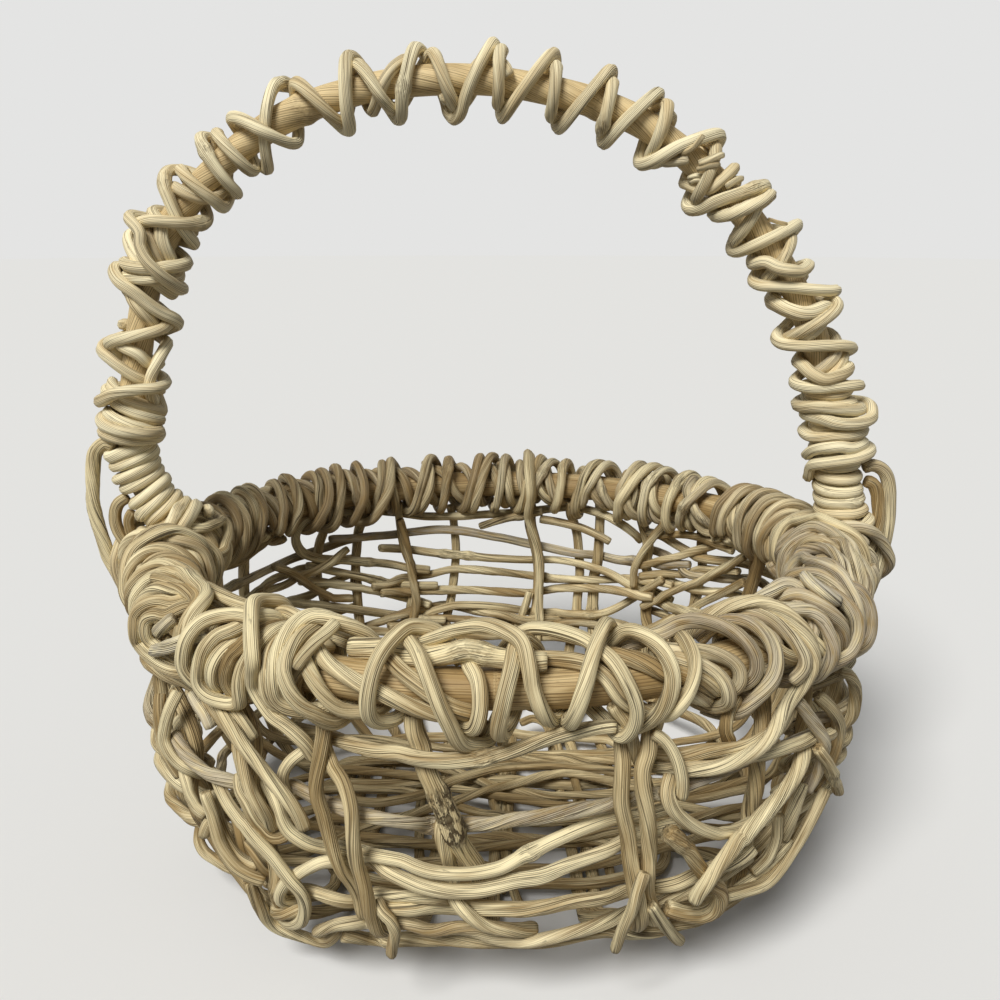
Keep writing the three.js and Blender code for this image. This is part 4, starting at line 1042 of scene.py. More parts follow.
def layHandleWraps():
    near = basket["handleRodRadius"] + handleWraps["radius"]
    for piece, passes, tone, extra in (("handleWrap", handleWraps["rising"], 0.85, 0.0),
                                       ("handleCrossing", handleWraps["falling"], 0.7, 0.6)):
        rising = piece == "handleWrap"
        # the outer edge is turn 0 and the inner edge is turn 180
        first, last = (180, 0) if rising else (0, 180)
        proud = 3.6 if rising else 1.4
        places = []
        for k, (start, end) in enumerate(passes):
            base = -360 * k if rising else 360 * k
            # over the front, then behind the rod to where the next pass starts
            halves = [(start, end, first, last, (0, 0.25, 0.5, 0.75, 1))]
            if k + 1 < len(passes):
                halves.append((end, passes[k + 1][0], last, 2 * last - first, (0.25, 0.5, 0.75)))
            for along0, along1, turn0, turn1, shares in halves:
                for share in shares:
                    turn = turn0 + (turn1 - turn0) * share
                    edge = abs(math.cos(math.radians(turn)))
                    along = along0 + (along1 - along0) * share
                    places.append((along, base + turn, near + extra + proud * edge ** 3))
        strand(piece, onHandle(places), handleWraps["radius"], tone=tone,
               knots=tuple(rng.uniform(20, 1200, 8)), wave=0.3, ridges=0.9)
    layInnerHandleWraps()
    for i, vine in enumerate(handlePictured):
        places = handleSeen(vine["points"])
        line = onHandleLayer(places if "bare" in vine else tuckIn(places))
        piece = "handleCrossing" if i % 2 else "handleWrap"
        layVine(piece, line, vine, handleWraps["radius"], ridges=1.2, wave=0.2)
    print("wrapped the handle")


def layInnerHandleWraps():
    # Thinner turns under the two main vines, uneven along the rod
    for hand, piece in ((1, "handleWrap"), (-1, "handleCrossing")):
        for start, end, turns in handleWraps["inner"][piece]:
            steps = max(int(abs(turns) * 8), 6)
            places = []
            for k in range(steps + 1):
                along = start + (end - start) * k / steps + 2.2 * math.sin(k * 0.8 + start)
                turn = hand * 360 * turns * k / steps + start * 7
                places.append((along, turn, 1 + 0.12 * math.sin(k * 0.9)))
            strand(piece, onHandleLayer(places), handleWraps["radius"] * rng.uniform(0.85, 0.98),
                   tone=rng.uniform(0.35, 0.75), grey=rng.uniform(0, 0.3), ridges=1.2, wave=0.3)


footWraps = {
    "turns": {"Left": 9, "Right": 12},
    "start": 40,
    "pitch": 5.7,
    "radius": 2.75,
}


def layFootWraps():
    near = basket["handleRodRadius"] + footWraps["radius"] + 0.2
    for place, turns in footWraps["turns"].items():
        places = []
        for k in range(turns * 10 + 1):
            along = footWraps["start"] + footWraps["pitch"] * k / 10 + 0.5 * math.sin(k * 0.63)
            if place == "Right":
                along = handleLength - along
            places.append((along, 36 * k + 180, near + 0.3 * math.sin(k * 0.41)))
        # the high tone is painted light: the feet of the handle are made paler as if lit from the front
        strand("footWrap" + place, onHandle(places), footWraps["radius"], tone=0.9,
               knots=tuple(rng.uniform(20, 400, 4)), wave=0.2)
    print("wound the feet of the handle")


# Lashings: turns round the rim on both sides of a foot and slanting turns over the foot

lashings = {
    "radius": 2.55,
    "under": {"from": 11, "pitch": 5.6, "turns": 4},       # on both sides of the foot, close to the rod
    "over": {"from": -14, "pitch": 5.7, "turns": 2},       # over the first
    # diagonals over the outside of the foot: along the rim, turn, and how far round the foot it stands out
    "diagonal": [(15, -150, 0), (13, -80, 0), (11, -20, 0), (9, 20, 0.3), (5, 55, 0.8), (0, 88, 1),
                 (-5, 121, 0.8), (-9, 156, 0.3), (-12, 200, 0), (-15, 250, 0)],
    "diagonals": [-3.2, 3.2],       # their places along the rim
    "sink": 0.25,          # layers that the pictured turns lie lower than written
}
turnsLeft = [
    bent(0.8, (128, 580, 2), (131, 566, 2.3), (140, 551, 2.5), (152, 542, 2.6), (166, 538, 2.6),
            (181, 538, 2.6), (193, 545, 2.5), (202, 556, 2.3)),
    bent(0.7, (127, 590, 1.9), (131, 576, 2.1), (142, 560, 2.3), (156, 552, 2.4), (171, 552, 2.4),
            (185, 560, 2.3), (196, 573, 2.1)),
    bent(0.55, (130, 598, 1.9), (135, 583, 2.1), (146, 570, 2.2), (162, 563, 2.3), (179, 567, 2.3),
            (194, 578, 2.2), (203, 591, 2)),
    bent(0.9, (134, 606, 2), (138, 592, 2.3), (148, 580, 2.4), (163, 575, 2.5), (179, 581, 2.5),
            (193, 591, 2.4), (203, 602, 2.2)),
    bent(0.6, (138, 612, 1.9), (144, 599, 2.1), (156, 590, 2.2), (171, 588, 2.2), (186, 594, 2.1),
            (200, 605, 1.9)),
    bent(0.75, (176, 604, 2), (163, 603, 2.2), (148, 606, 2.4), (137, 616, 2.5), (132, 631, 2.6),
            (133, 648, 2.6), (139, 664, 2.5), (149, 677, 2.4), (163, 687, 2.2), (180, 690, 2)),
    bent(0.8, (172, 613, 1.8), (158, 612, 2), (147, 618, 2.1), (141, 632, 2.2), (142, 649, 2.2),
            (148, 664, 2.1), (158, 675, 2), (171, 682, 1.8)),
    bent(0.95, (154, 651, 2.4), (165, 648, 2.5), (178, 644, 2.6), (192, 637, 2.6), (206, 632, 2.4),
            grey=0.6, bare=True),
    bent(0.9, (158, 632, 2), (166, 625, 2.1), (175, 618, 2), grey=0.5, bare=True),
    bent(0.7, (173, 664, 1.5), (180, 650, 1.6), (182, 634, 1.6), (180, 620, 1.4)),
    bent(0.7, (192, 534, 2.2), (204, 530, 2.4), (212, 525, 2.4), (217, 530, 2.4), (217, 541, 2.4),
            (212, 552, 2.3), (204, 562, 2)),
    bent(0.75, (178, 527, 2.4), (190, 523, 2.6), (203, 525, 2.6), (214, 532, 2.5)),
]
turnsRight = [
    bent(0.7, (788, 577, 2), (788, 562, 2.3), (794, 547, 2.5), (804, 537, 2.6), (818, 532, 2.7),
            (833, 536, 2.6), (845, 546, 2.5), (853, 560, 2.3), grey=0.4),
    bent(0.4, (787, 597, 1.9), (788, 581, 2.1), (794, 565, 2.3), (805, 554, 2.4), (818, 549, 2.4),
            (832, 554, 2.4), (845, 566, 2.3), (854, 582, 2.1), grey=0.5),
    bent(0.55, (793, 602, 1.9), (796, 585, 2.1), (803, 571, 2.2), (815, 562, 2.3), (829, 564, 2.4),
            (842, 575, 2.4), (851, 590, 2.3), (857, 607, 2.1), grey=0.5),
    bent(0.5, (800, 560, 2.6), (813, 566, 2.7), (827, 571, 2.7), (839, 580, 2.6), (848, 594, 2.5),
            (853, 611, 2.4), (857, 628, 2.1), grey=0.5),
    bent(0.6, (806, 578, 2.4), (820, 579, 2.5), (833, 587, 2.5), (842, 599, 2.4), (848, 614, 2.3),
            (851, 630, 2.1), grey=0.4),
    bent(0.65, (843, 548, 2.4), (853, 560, 2.5), (860, 576, 2.5), (863, 594, 2.4), (861, 612, 2.1),
            grey=0.3),
    bent(0.95, (802, 583, 2.9), (812, 590, 3), (824, 597, 3), (837, 604, 2.8), grey=0.8, bare=True),
    bent(0.5, (765, 617, 2.1), (780, 613, 2.3), (796, 611, 2.5), (811, 613, 2.6), (822, 622, 2.7),
            (828, 636, 2.7), (829, 652, 2.7), (826, 667, 2.6), (818, 680, 2.4), (806, 689, 2.1), grey=0.5),
    bent(0.3, (805, 601, 2.2), (818, 606, 2.3), (830, 614, 2.3), (841, 626, 2.3), (848, 640, 2.2),
            (851, 655, 2), grey=0.4),
    bent(0.6, (778, 625, 1.4), (792, 631, 1.5), (805, 637, 1.6), (815, 648, 1.6), (818, 662, 1.4)),
    bent(0.55, (780, 650, 1.4), (793, 655, 1.5), (806, 660, 1.5), (813, 666, 1.3)),
    bent(0.75, (790, 526, 2.4), (803, 523, 2.7), (817, 525, 2.9), (830, 531, 2.8)),
]


def layLashings():
    for place, azimuth, tone, grey, pictured in (("Left", -90, 0.7, 0.1, turnsLeft),
                                                 ("Right", 90, 0.5, 0.4, turnsRight)):
        name = "lashing" + place
        toFront = 1 if place == "Left" else -1
        for key, sides, layer in (("under", (-1, 1), 1.0), ("over", (-1,), 2.0)):
            turns = lashings[key]
            for side in sides:
                places = []
                for k in range(turns["turns"] * 10 + 1):
                    first = turns["from"] * side * toFront
                    across = first + (1 if first > 0 else -1) * turns["pitch"] * k / 10
                    spread = math.degrees(across / basket["rimHalfDepth"])
                    places.append((azimuth + spread, 36 * k * side + 60, layer + 0.1 * math.sin(k * 0.5)))
                strand(name, onRimLayer(places), lashings["radius"], tone=tone + rng.uniform(-0.1, 0.1),
                       grey=grey, wave=0.3)
        for sign in (1, -1):
            near = layerDistance(basket["rimRodRadius"], rimVines["radius"], 1.3 if sign > 0 else 1.9)
            for shift in lashings["diagonals"]:
                places = []
                for along, turn, out in lashings["diagonal"]:
                    spread = math.degrees((along * sign + shift) / basket["rimHalfDepth"])
                    places.append((azimuth + spread, turn, near + out * 2 * basket["handleRodRadius"]))
                strand(name, onRim(places), lashings["radius"], tone=tone + 0.05 * sign, grey=grey, wave=0.2)
        for vine in pictured:
            places = rimSeen([(x, y, layer - lashings["sink"]) for x, y, layer in vine["points"]])
            line = onRimLayer(places if "bare" in vine else tuckIn(places))
            layVine(name, line, vine, lashings["radius"], ridges=1.2, wave=0.1, weight=2)
    print("lashed the handle to the rim")


ears = {
    "earLeft": [
        bent(0.85, (124, 447), (114, 443), (105, 446), (98, 453), (95, 466), (94, 484), (94, 502),
                    (97, 517), (102, 531), (109, 547), (116, 561), (123, 575), (130, 588), radius=3.1),
        bent(0.25, (128, 497), (119, 503), (115, 515), (117, 529), (124, 542), (131, 553), (137, 563),
                    radius=2.6),
        bent(0.35, (134, 507), (130, 517), (132, 529), (138, 541), radius=2.3),
    ],
    "earRight": [
        bent(0.8, (858, 466), (868, 464), (877, 467), (884, 475), (887, 488), (887, 504), (886, 520),
                    (883, 537), (878, 553), (871, 568), (864, 583), (859, 598), radius=3, grey=0.2),
        bent(0.3, (862, 480), (870, 483), (875, 493), (876, 509), (874, 526), (869, 541), (862, 556),
                    radius=2.9),
    ],
}
earDepth = -3
# the lower end turns in under the rim: steps inwards, forwards and down from where it is last seen
earTuck = [(4, 5, 7), (11, 11, 10), (18, 17, 10)]


def layEars():
    for piece, group in ears.items():
        for vine in group:
            line = planeSeen([(x, y, earDepth) for x, y in vine["points"]], 1)
            x, y, z = line[-1]
            for inwards, forwards, down in earTuck:
                line.append((x - math.copysign(inwards, x), y - forwards, z - down))
            layVine(piece, smoothLine(line), vine, weight=2)
    print("laid the ears")


# Short vines on the wall, laid by points of the picture

shortVineRadius = 2.3
braceLeft = [
    bent(0.75, (207, 697, 1), (212, 705, 1.2), (220, 714, 1.6), (230, 727, 1.9), (242, 745, 2),
            (255, 760, 2), (267, 775, 2), (280, 790, 2), (291, 804, 2), (299, 816, 1.9), (305, 828, 1.8),
            radius=2.55),
    bent(0.8, (228, 700, 1), (236, 712, 1.1), (245, 725, 1), (253, 738, 0.6)),
    bent(0.5, (237, 742, 1), (241, 761, 1.2), (246, 777, 1.3), (252, 792, 1.3), (262, 806, 1.2),
            (271, 817, 0.8), (275, 828, 0.3), radius=2.4),
]
braceRight = [
    bent(0.85, (692, 897, 1.5), (703, 880, 1.8), (717, 863, 1.9), (733, 845, 2), (750, 828, 2),
            (767, 810, 2), (783, 793, 1.8), (797, 773, 1.5), (803, 757, 1.2), (806, 743, 0.8), radius=2.8),
    bent(0.7, (700, 886, 1), (717, 873, 1.4), (730, 867, 1.5), (743, 859, 1.6), (753, 851, 1.6),
            radius=2.6),
    bent(0.5, (668, 832, 1.5), (678, 840, 1.6), (690, 852, 1.6), (700, 867, 1.4), (711, 878, 1.3),
            (720, 888, 1.4), (720, 900, 1.5), (713, 910, 1.4), (700, 915, 1.2), (683, 913, 1.1),
            (666, 907, 0.8), radius=2.9, knots=(1, 6)),
]
loopVine = [
    bent(0.85, (652, 733, 0.9), (663, 740, 1.1), (672, 752, 1.3), (678, 765, 1.4), (682, 780, 1.4),
            (682, 797, 1.3), radius=2.4),
    bent(0.8, (670, 776, 0.6), (667, 793, 1.2), (672, 807, 1.4), (682, 818, 1.4), (695, 827, 1.3),
            (710, 832, 1.2), (727, 832, 1.1), (740, 827, 0.7), (752, 819, 0.3), radius=2.4),
]
looseVines = [
    bent(0.65, (455, 808, -0.8), (446, 818, -0.3), (442, 829, 0.2), (443, 840, 0.3), (447, 854, 0.2),
            (451, 868, -0.7), (452, 885, -0.8), (455, 902, 0.9), (467, 915, 1.4), (485, 927, 1.5),
            (510, 932, 1.3), (535, 934, 0.6), radius=2.5, knots=(3,)),
    bent(0.5, (376, 900, 1.2), (381, 912, 1.7), (389, 920, 1.9), (394, 932, 2), (392, 946, 2),
            (391, 954, 2), radius=2.2),
    bent(0.75, (645, 873, 1.7), (638, 890, 1.9), (632, 910, 2), (623, 927, 2), (615, 949, 2), radius=2.2),
    bent(0.6, (606, 700, 0.9), (613, 711, 0.9), (621, 721, 1), (629, 738, 0.8), (635, 752, 0.3),
            (641, 768, -0.5), (645, 785, -0.9), (648, 806, -0.9)),
    bent(0.6, (650, 905, 1.3), (662, 922, 1.3), (673, 935, 1.3), (680, 941, 1.3), radius=2.2),
    bent(0.2, (738, 695, 0.8), (730, 712, 0.9), (727, 727, 0.8), (731, 742, 0.3), radius=2.5),
    bent(0.75, (215, 772, 0), (222, 789, 0.6), (230, 804, 0.9), (240, 817, 1), (250, 827, 1.1),
            (262, 841, 1.1), (275, 855, 1.1), (286, 869, 1.1), (293, 877, 1.1), (301, 887, 1.1),
            (305, 898, 1.1), (305, 909, 1.1), (300, 919, 1.1), (291, 924, 1.1), (281, 921, 0.9),
            (272, 912, 0.3), radius=2.4),
    bent(0.55, (238, 775, 0.1), (239, 790, 0.6), (246, 802, 0.8), (252, 815, 0.9), (260, 826, 0.8),
            (269, 835, 0.6), (280, 837, 0.3), (291, 830, -0.3)),
    bent(0.8, (205, 792, 1.4), (210, 806, 1.4), (215, 824, 1.4), (220, 840, 1.4), (229, 854, 1.3),
            (240, 865, 1.1), (252, 871, 0.8), (267, 875, 0.3), radius=2.4),
    bent(0.45, (210, 792, 0.5), (217, 812, 0.6), (227, 836, 0.7), (237, 851, 0.6), (249, 861, 0.4),
            (262, 867, 0.2)),
    bent(0.35, (235, 818, 0.1), (240, 840, 0.4), (242, 855, 0.4), (251, 864, 0.2), radius=2.2),
    bent(0.5, (247, 842, 0.2), (257, 856, 0.6), (264, 868, 0.4), (270, 880, -0.2), radius=2.2),
    bent(0.4, (160, 694, 1.1), (159, 711, 1.3), (160, 730, 1.3), (163, 745, 1.3), (170, 760, 1.1),
            (180, 776, 0.8)),
    bent(0.8, (178, 692, 1.2), (171, 707, 1.7), (166, 724, 1.8), (164, 740, 1.8), (169, 752, 1.7),
            (177, 764, 1.4), (186, 770, 1.1), (198, 776, 0.2), radius=2.5),
    bent(0.7, (192, 695, 1.1), (200, 707, 1.3), (206, 716, 1.3), (211, 728, 1.2), grey=0.5),
    bent(0.6, (187, 765, 0.7), (190, 778, 1), (192, 792, 1.2), (197, 806, 1.2), (207, 815, 1), radius=2.2),
    bent(0.6, (211, 820, 1.2), (207, 828, 1.6), (205, 836, 1.8), radius=2),
    bent(0.6, (780, 815, 0.7), (777, 840, 0.9), (768, 858, 1), (752, 871, 1), radius=2.4),
    bent(0.65, (823, 788, 1.1), (813, 810, 1.1), (800, 832, 1.1), (787, 848, 1.1), (777, 865, 1.2),
            (762, 878, 1.2), (743, 887, 1.1), (723, 893, 1), radius=2.5),
    bent(0.7, (802, 783, 0.9), (795, 803, 1), (787, 820, 1), (781, 836, 0.6), radius=2.4),
    bent(0.6, (838, 668, 1.3), (848, 674, 1.7), (854, 685, 1.8), (855, 698, 1.7), (851, 711, 1.5),
            (844, 722, 1.1), (836, 732, 0.6), radius=2.5),
    bent(0.35, (818, 695, 0.7), (830, 708, 1), (839, 725, 1.1), (840, 740, 1.1), (832, 757, 1.1),
            (822, 775, 0.9), (812, 790, 0.4), radius=2.5),
    bent(0.5, (815, 743, 1.4), (827, 763, 1.8), (836, 781, 1.9), (838, 791, 1.9), knots=(20,)),
    bent(0.6, (790, 700, 1.2), (803, 715, 1.3), (815, 733, 1.3), (820, 752, 1.2), (816, 772, 1),
            (806, 790, 0.7), radius=2.4, grey=0.5),
    bent(0.3, (434, 690, -0.4), (443, 706, -0.8), (453, 720, -0.9), (461, 733, -0.9), (470, 743, -0.9),
            (477, 742, -0.9), (481, 733, -0.8), (486, 720, -0.7), radius=2),
    bent(0.3, (477, 690, -0.3), (476, 707, -0.6), (471, 721, -0.5), (466, 735, -0.5), radius=2),
    bent(0.35, (506, 688, -0.6), (503, 707, -0.9), (500, 721, -0.9), (500, 735, -0.9), (503, 750, -0.9),
            radius=2),
    bent(0.4, (526, 688, -0.4), (536, 701, -0.6), (546, 710, -0.6), (555, 716, -0.7), (562, 726, -0.9),
            radius=2),
    bent(0.35, (646, 532, -0.6), (656, 536, -0.7), (680, 534, -0.8), (706, 538, -0.8), (735, 548, -0.7),
            behind=True),
    bent(0.55, (640, 566, -0.6), (652, 564, -0.7), (680, 557, -0.8), (706, 548, -0.8), (735, 536, -0.7),
            behind=True),
    bent(0.5, (640, 578, -0.7), (655, 574, -0.8), (680, 573, -0.8), (706, 570, -0.7), (738, 572, -0.6),
            behind=True),
    bent(0.6, (640, 604, -0.7), (656, 596, -0.8), (688, 584, -0.9), (720, 570, -0.9), (745, 556, -0.6),
            behind=True),
    bent(0.4, (648, 630, -0.6), (662, 624, -0.7), (690, 610, -0.8), (716, 596, -0.8), (745, 582, -0.6),
            behind=True),
    bent(0.1, (766, 535, -0.6), (760, 552, -0.9), (754, 576, -1), (746, 600, -1), radius=3.2, behind=True),
    bent(0.5, (272, 566, -0.6), (290, 572, -0.8), (310, 586, -0.9), (328, 596, -0.9), (352, 598, -0.6),
            behind=True),
    bent(0.35, (262, 590, -0.6), (285, 586, -0.8), (308, 574, -0.9), (330, 560, -0.9), (346, 548, -0.6),
            behind=True),
    bent(0.15, (400, 520, -1.2), (407, 545, -1.3), (413, 575, -1.2), (417, 600, -1), (413, 625, -0.6),
            radius=2.5, behind=True),
    bent(0.6, (530, 592, -0.9), (522, 615, -0.9), (510, 642, -0.8), radius=2.4, behind=True),
    bent(0.5, (668, 516, -0.9), (655, 535, -1), (644, 552, -1.2), (637, 568, -1.1), (636, 586, -0.8),
            radius=2.4, behind=True),
]


def layShortVines():
    for piece, group in (("braceLeft", braceLeft), ("braceRight", braceRight), ("loopVine", loopVine),
                         ("looseVines", looseVines)):
        for vine in group:
            places = wallSeen(vine["points"], vine.get("behind", False))
            layVine(piece, onWall(places), vine, shortVineRadius, wave=0.2, weight=2.5)
    print("laid the short vines")


# Vines on the base, by points of the picture and their height above the ground

baseVines = [
    bent(0.35, (513, 736, 9), (513, 763, 8), (510, 783, 8), (509, 804, 7), (506, 830, 7), (504, 860, 6),
            (500, 890, 6)),
    bent(0.45, (488, 735, 9), (491, 760, 9), (491, 782, 9), (493, 803, 9), (499, 819, 9), (503, 833, 8),
            (506, 859, 8), (512, 885, 8), (520, 905, 7)),
    bent(0.5, (521, 723, 12), (533, 719, 13), (544, 723, 13), (549, 733, 13), (544, 744, 12),
            (530, 748, 11)),
    bent(0.3, (545, 712, 11), (554, 735, 10), (564, 761, 9), (571, 776, 9), (580, 797, 9), (592, 820, 8),
            (604, 846, 8), (612, 880, 8)),
    bent(0.5, (270, 786, 22), (310, 776, 15), (350, 766, 12), (392, 760, 12), (430, 764, 12),
            (450, 770, 12), (471, 779, 12), (500, 787, 13), (529, 793, 12), (560, 797, 12), (620, 792, 12),
            (680, 778, 15), (725, 768, 22), across=True),
    bent(0.35, (290, 760, 16), (335, 770, 14), (380, 772, 14), (425, 778, 14), (454, 787, 14),
            (480, 793, 13), (500, 796, 13), (543, 803, 13), (571, 806, 14), (640, 800, 14), (700, 792, 18),
            (740, 785, 24), across=True),
    bent(0.6, (330, 842, 14), (372, 828, 14), (420, 812, 14), (460, 800, 15), (500, 788, 16),
            (521, 783, 16), (543, 776, 16), (564, 773, 16), (586, 776, 16), (640, 790, 16), (690, 808, 18),
            across=True),
    bent(0.4, (280, 800, 20), (330, 790, 14), (380, 789, 12), (430, 796, 12), (450, 803, 12),
            (471, 811, 12), (493, 817, 12), (540, 822, 12), (600, 818, 12), (680, 800, 14), (730, 790, 22),
            across=True),
    bent(0.35, (270, 820, 22), (310, 826, 15), (352, 833, 13), (370, 837, 13), (392, 839, 13),
            (430, 844, 13), (480, 847, 13), (540, 842, 13), (600, 835, 13), (660, 826, 14), (720, 812, 22),
            across=True),
    bent(0.45, (300, 742, 18), (350, 738, 12), (420, 745, 10), (480, 752, 10), (540, 757, 10),
            (610, 752, 10), (680, 742, 14), (720, 735, 22), across=True),
    bent(0.3, (300, 812, 18), (340, 800, 15), (384, 803, 14), (420, 795, 15), (470, 775, 17),
            (520, 766, 17), (580, 768, 16), (640, 772, 15), (690, 762, 18), across=True),
    bent(0.3, (310, 862, 16), (370, 866, 13), (440, 862, 12), (510, 868, 12), (580, 866, 12),
            (650, 852, 14), (700, 838, 20), across=True),
]
baseEnds = {
    "radius": 2.2,
    "toWall": 24,          # from the last point in the picture to where an end stands up
    "step": 5,
    "slant": 0.25,         # how much of its turn towards the wall an end keeps while it rises
    "rises": ((20, 29, 38), (22, 30, 38)),     # of the first and the last end, vine by vine
}


def upTheSide(line, rise):
    # The last end carries on to the wall and stands up inside it, behind the lowest weavers
    (x0, y0, _), (x1, y1, z1) = line[-3], line[-1]
    reach = baseEnds["toWall"] / math.hypot(x1 - x0, y1 - y0)
    x, y = x1 + (x1 - x0) * reach, y1 + (y1 - y0) * reach
    azimuth = math.degrees(math.atan2(x, -y))
    turn = baseEnds["slant"] * (azimuth - math.degrees(math.atan2(x1, -y1)))
    low = z1 + baseEnds["step"]
    places = [(azimuth, low, -1), (azimuth + turn, low + 0.5 * rise, -1),
              (azimuth + 1.5 * turn, low + rise, -0.7)]
    return line + list(onWall(places, False))


def layBaseVines():
    for i, vine in enumerate(baseVines):
        line = planeSeen(vine["points"], 2)
        if "across" in vine:
            first, last = baseEnds["rises"]
            line = upTheSide(line[::-1], first[i % 3])[::-1]
            line = upTheSide(line, last[(i + 1) % 3])
        layVine("baseVines", smoothLine(line), vine, baseEnds["radius"], ridges=1.2, wave=0.6)
    print("laid the vines in the base")


# Meshes

vineLook = {
    "sides": 22,
    "step": 1.6,
    "swell": 0.05,
    "knotSwell": 0.22,
    "knotReach": 3.5,
    "ridgeDepth": 0.03,
    "twist": 0.012,        # turns per millimetre
    "capRise": 0.35,
    "apart": 311.0,        # from one vine to the next along the pattern, so that no two look alike
}


def frameAlong(line, closed):
    tangent = np.roll(line, -1, axis=0) - np.roll(line, 1, axis=0) if closed else np.gradient(line, axis=0)
    tangent /= np.maximum(np.linalg.norm(tangent, axis=1), 1e-9)[:, None]
    side = unit(np.cross(tangent[0], (0, 0, 1) if abs(tangent[0][2]) < 0.9 else (0, 1, 0)))
    sides = [side]
    for i in range(1, len(line)):
        side = unit(side - tangent[i] * side.dot(tangent[i]))
        sides.append(side)
    sides = np.array(sides)
    if closed:
        # spread the twist that is left where the ring closes
        end = unit(sides[-1] - tangent[0] * sides[-1].dot(tangent[0]))
        other = np.cross(tangent[0], sides[0])
        left = math.atan2(end.dot(other), end.dot(sides[0]))
        turn = -left * np.arange(len(line)) / len(line)
        across = np.cross(tangent, sides)
        sides = sides * np.cos(turn)[:, None] + across * np.sin(turn)[:, None]
    return tangent, sides, np.cross(tangent, sides)


def vineShape(s, along, theta, own):
    # Radius at each point of each ring, the knots along the vine, and the straightened place
    length = along[-1]
    peeled = s["ridges"] < 0.5
    swell = np.zeros(len(along))
    for wave in (131, 53, 21):
        if s["closed"]:
            wave = length / round(length / wave)
        swell += np.sin(2 * math.pi * along / wave + own.uniform(0, 6.3)) * own.uniform(0.3, 1)
    thick = s["radius"] * (1 + vineLook["swell"] * swell / 2 * (0.4 if peeled else 1))
    knot = np.zeros(len(along))
    for place in s["knots"]:
        if place < length:
            knot = np.maximum(knot, np.exp(-((along - place) / vineLook["knotReach"]) ** 2))
    thick *= 1 + vineLook["knotSwell"] * knot * (0.25 if peeled else 1)
    roll = 0 if s["closed"] else (2 * math.pi * vineLook["twist"] * along * own.uniform(-1, 1))[:, None]
    shape = 1 + s["oval"] * np.cos(2 * (theta - roll) + own.uniform(0, 6.3))
    for order in (3, 4, 5, 7, 9):
        depth = vineLook["ridgeDepth"] * s["ridges"] * own.uniform(0.3, 1)
        shape = shape + depth * np.cos(order * (theta - roll) + own.uniform(0, 6.3))
    shape = shape + 0.08 * knot[:, None] * np.cos(2 * theta + own.uniform(0, 6.3) + along[:, None] * 0.4)
    far = np.repeat(along[:, None], theta.size, 1) + vineLook["apart"] * s["seed"]
    straight = [np.cos(theta - roll) * thick[:, None], np.sin(theta - roll) * thick[:, None], far]
    return thick[:, None] * shape, knot, np.stack(straight, axis=-1)


def sweepStrand(s):
    own = np.random.default_rng(50 + s["seed"])
    line = evenLine(smoothLine(s["points"], s["closed"], 4), vineLook["step"], s["closed"])
    count, sides = len(line), vineLook["sides"]
    tangent, across, up = frameAlong(line, s["closed"])
    along = lengthsAlong(line)
    theta = np.linspace(0, 2 * math.pi, sides, endpoint=False)[None, :]
    size, knot, straight = vineShape(s, along, theta, own)
    if not s["closed"]:
        size[0] *= 0.9
        size[-1] *= 0.9
    ring = line[:, None, :] + size[:, :, None] * (
        np.cos(theta)[:, :, None] * across[:, None, :] + np.sin(theta)[:, :, None] * up[:, None, :])
    verts, place = ring.reshape(-1, 3), straight.reshape(-1, 3)
    knots = np.repeat(knot * s["scar"], sides)
    cuts = np.zeros(len(verts))
    rows = count if s["closed"] else count - 1
    i = np.arange(rows)[:, None] * sides
    j = (np.arange(rows)[:, None] + 1) % count * sides
    k = np.arange(sides)[None, :]
    after = (k + 1) % sides
    quads = np.stack([i + k, i + after, j + after, j + k], axis=-1).reshape(-1, 4)
    triangles = np.zeros((0, 3), int)
    if not s["closed"]:
        start, end = len(verts), len(verts) + 1
        rise = vineLook["capRise"]
        verts = np.vstack([verts, [line[0] - tangent[0] * rise, line[-1] + tangent[-1] * rise]])
        far = vineLook["apart"] * s["seed"]
        place = np.vstack([place, [[0, 0, far], [0, 0, far + along[-1]]]])
        knots = np.append(knots, [0, 0])
        cuts[:sides] = 0.5
        cuts[-sides:] = 0.5
        cuts = np.append(cuts, [1, 1])
        first, second = k[0], after[0]
        last = (count - 1) * sides
        triangles = np.vstack([
            np.stack([second, first, first * 0 + start], axis=1),
            np.stack([first + last, second + last, first * 0 + end], axis=1)])
    return verts, place, knots, cuts, quads, triangles


def addObject(name, data):
    thing = bpy.data.objects.new(name, data)
    bpy.context.scene.collection.objects.link(thing)
    return thing


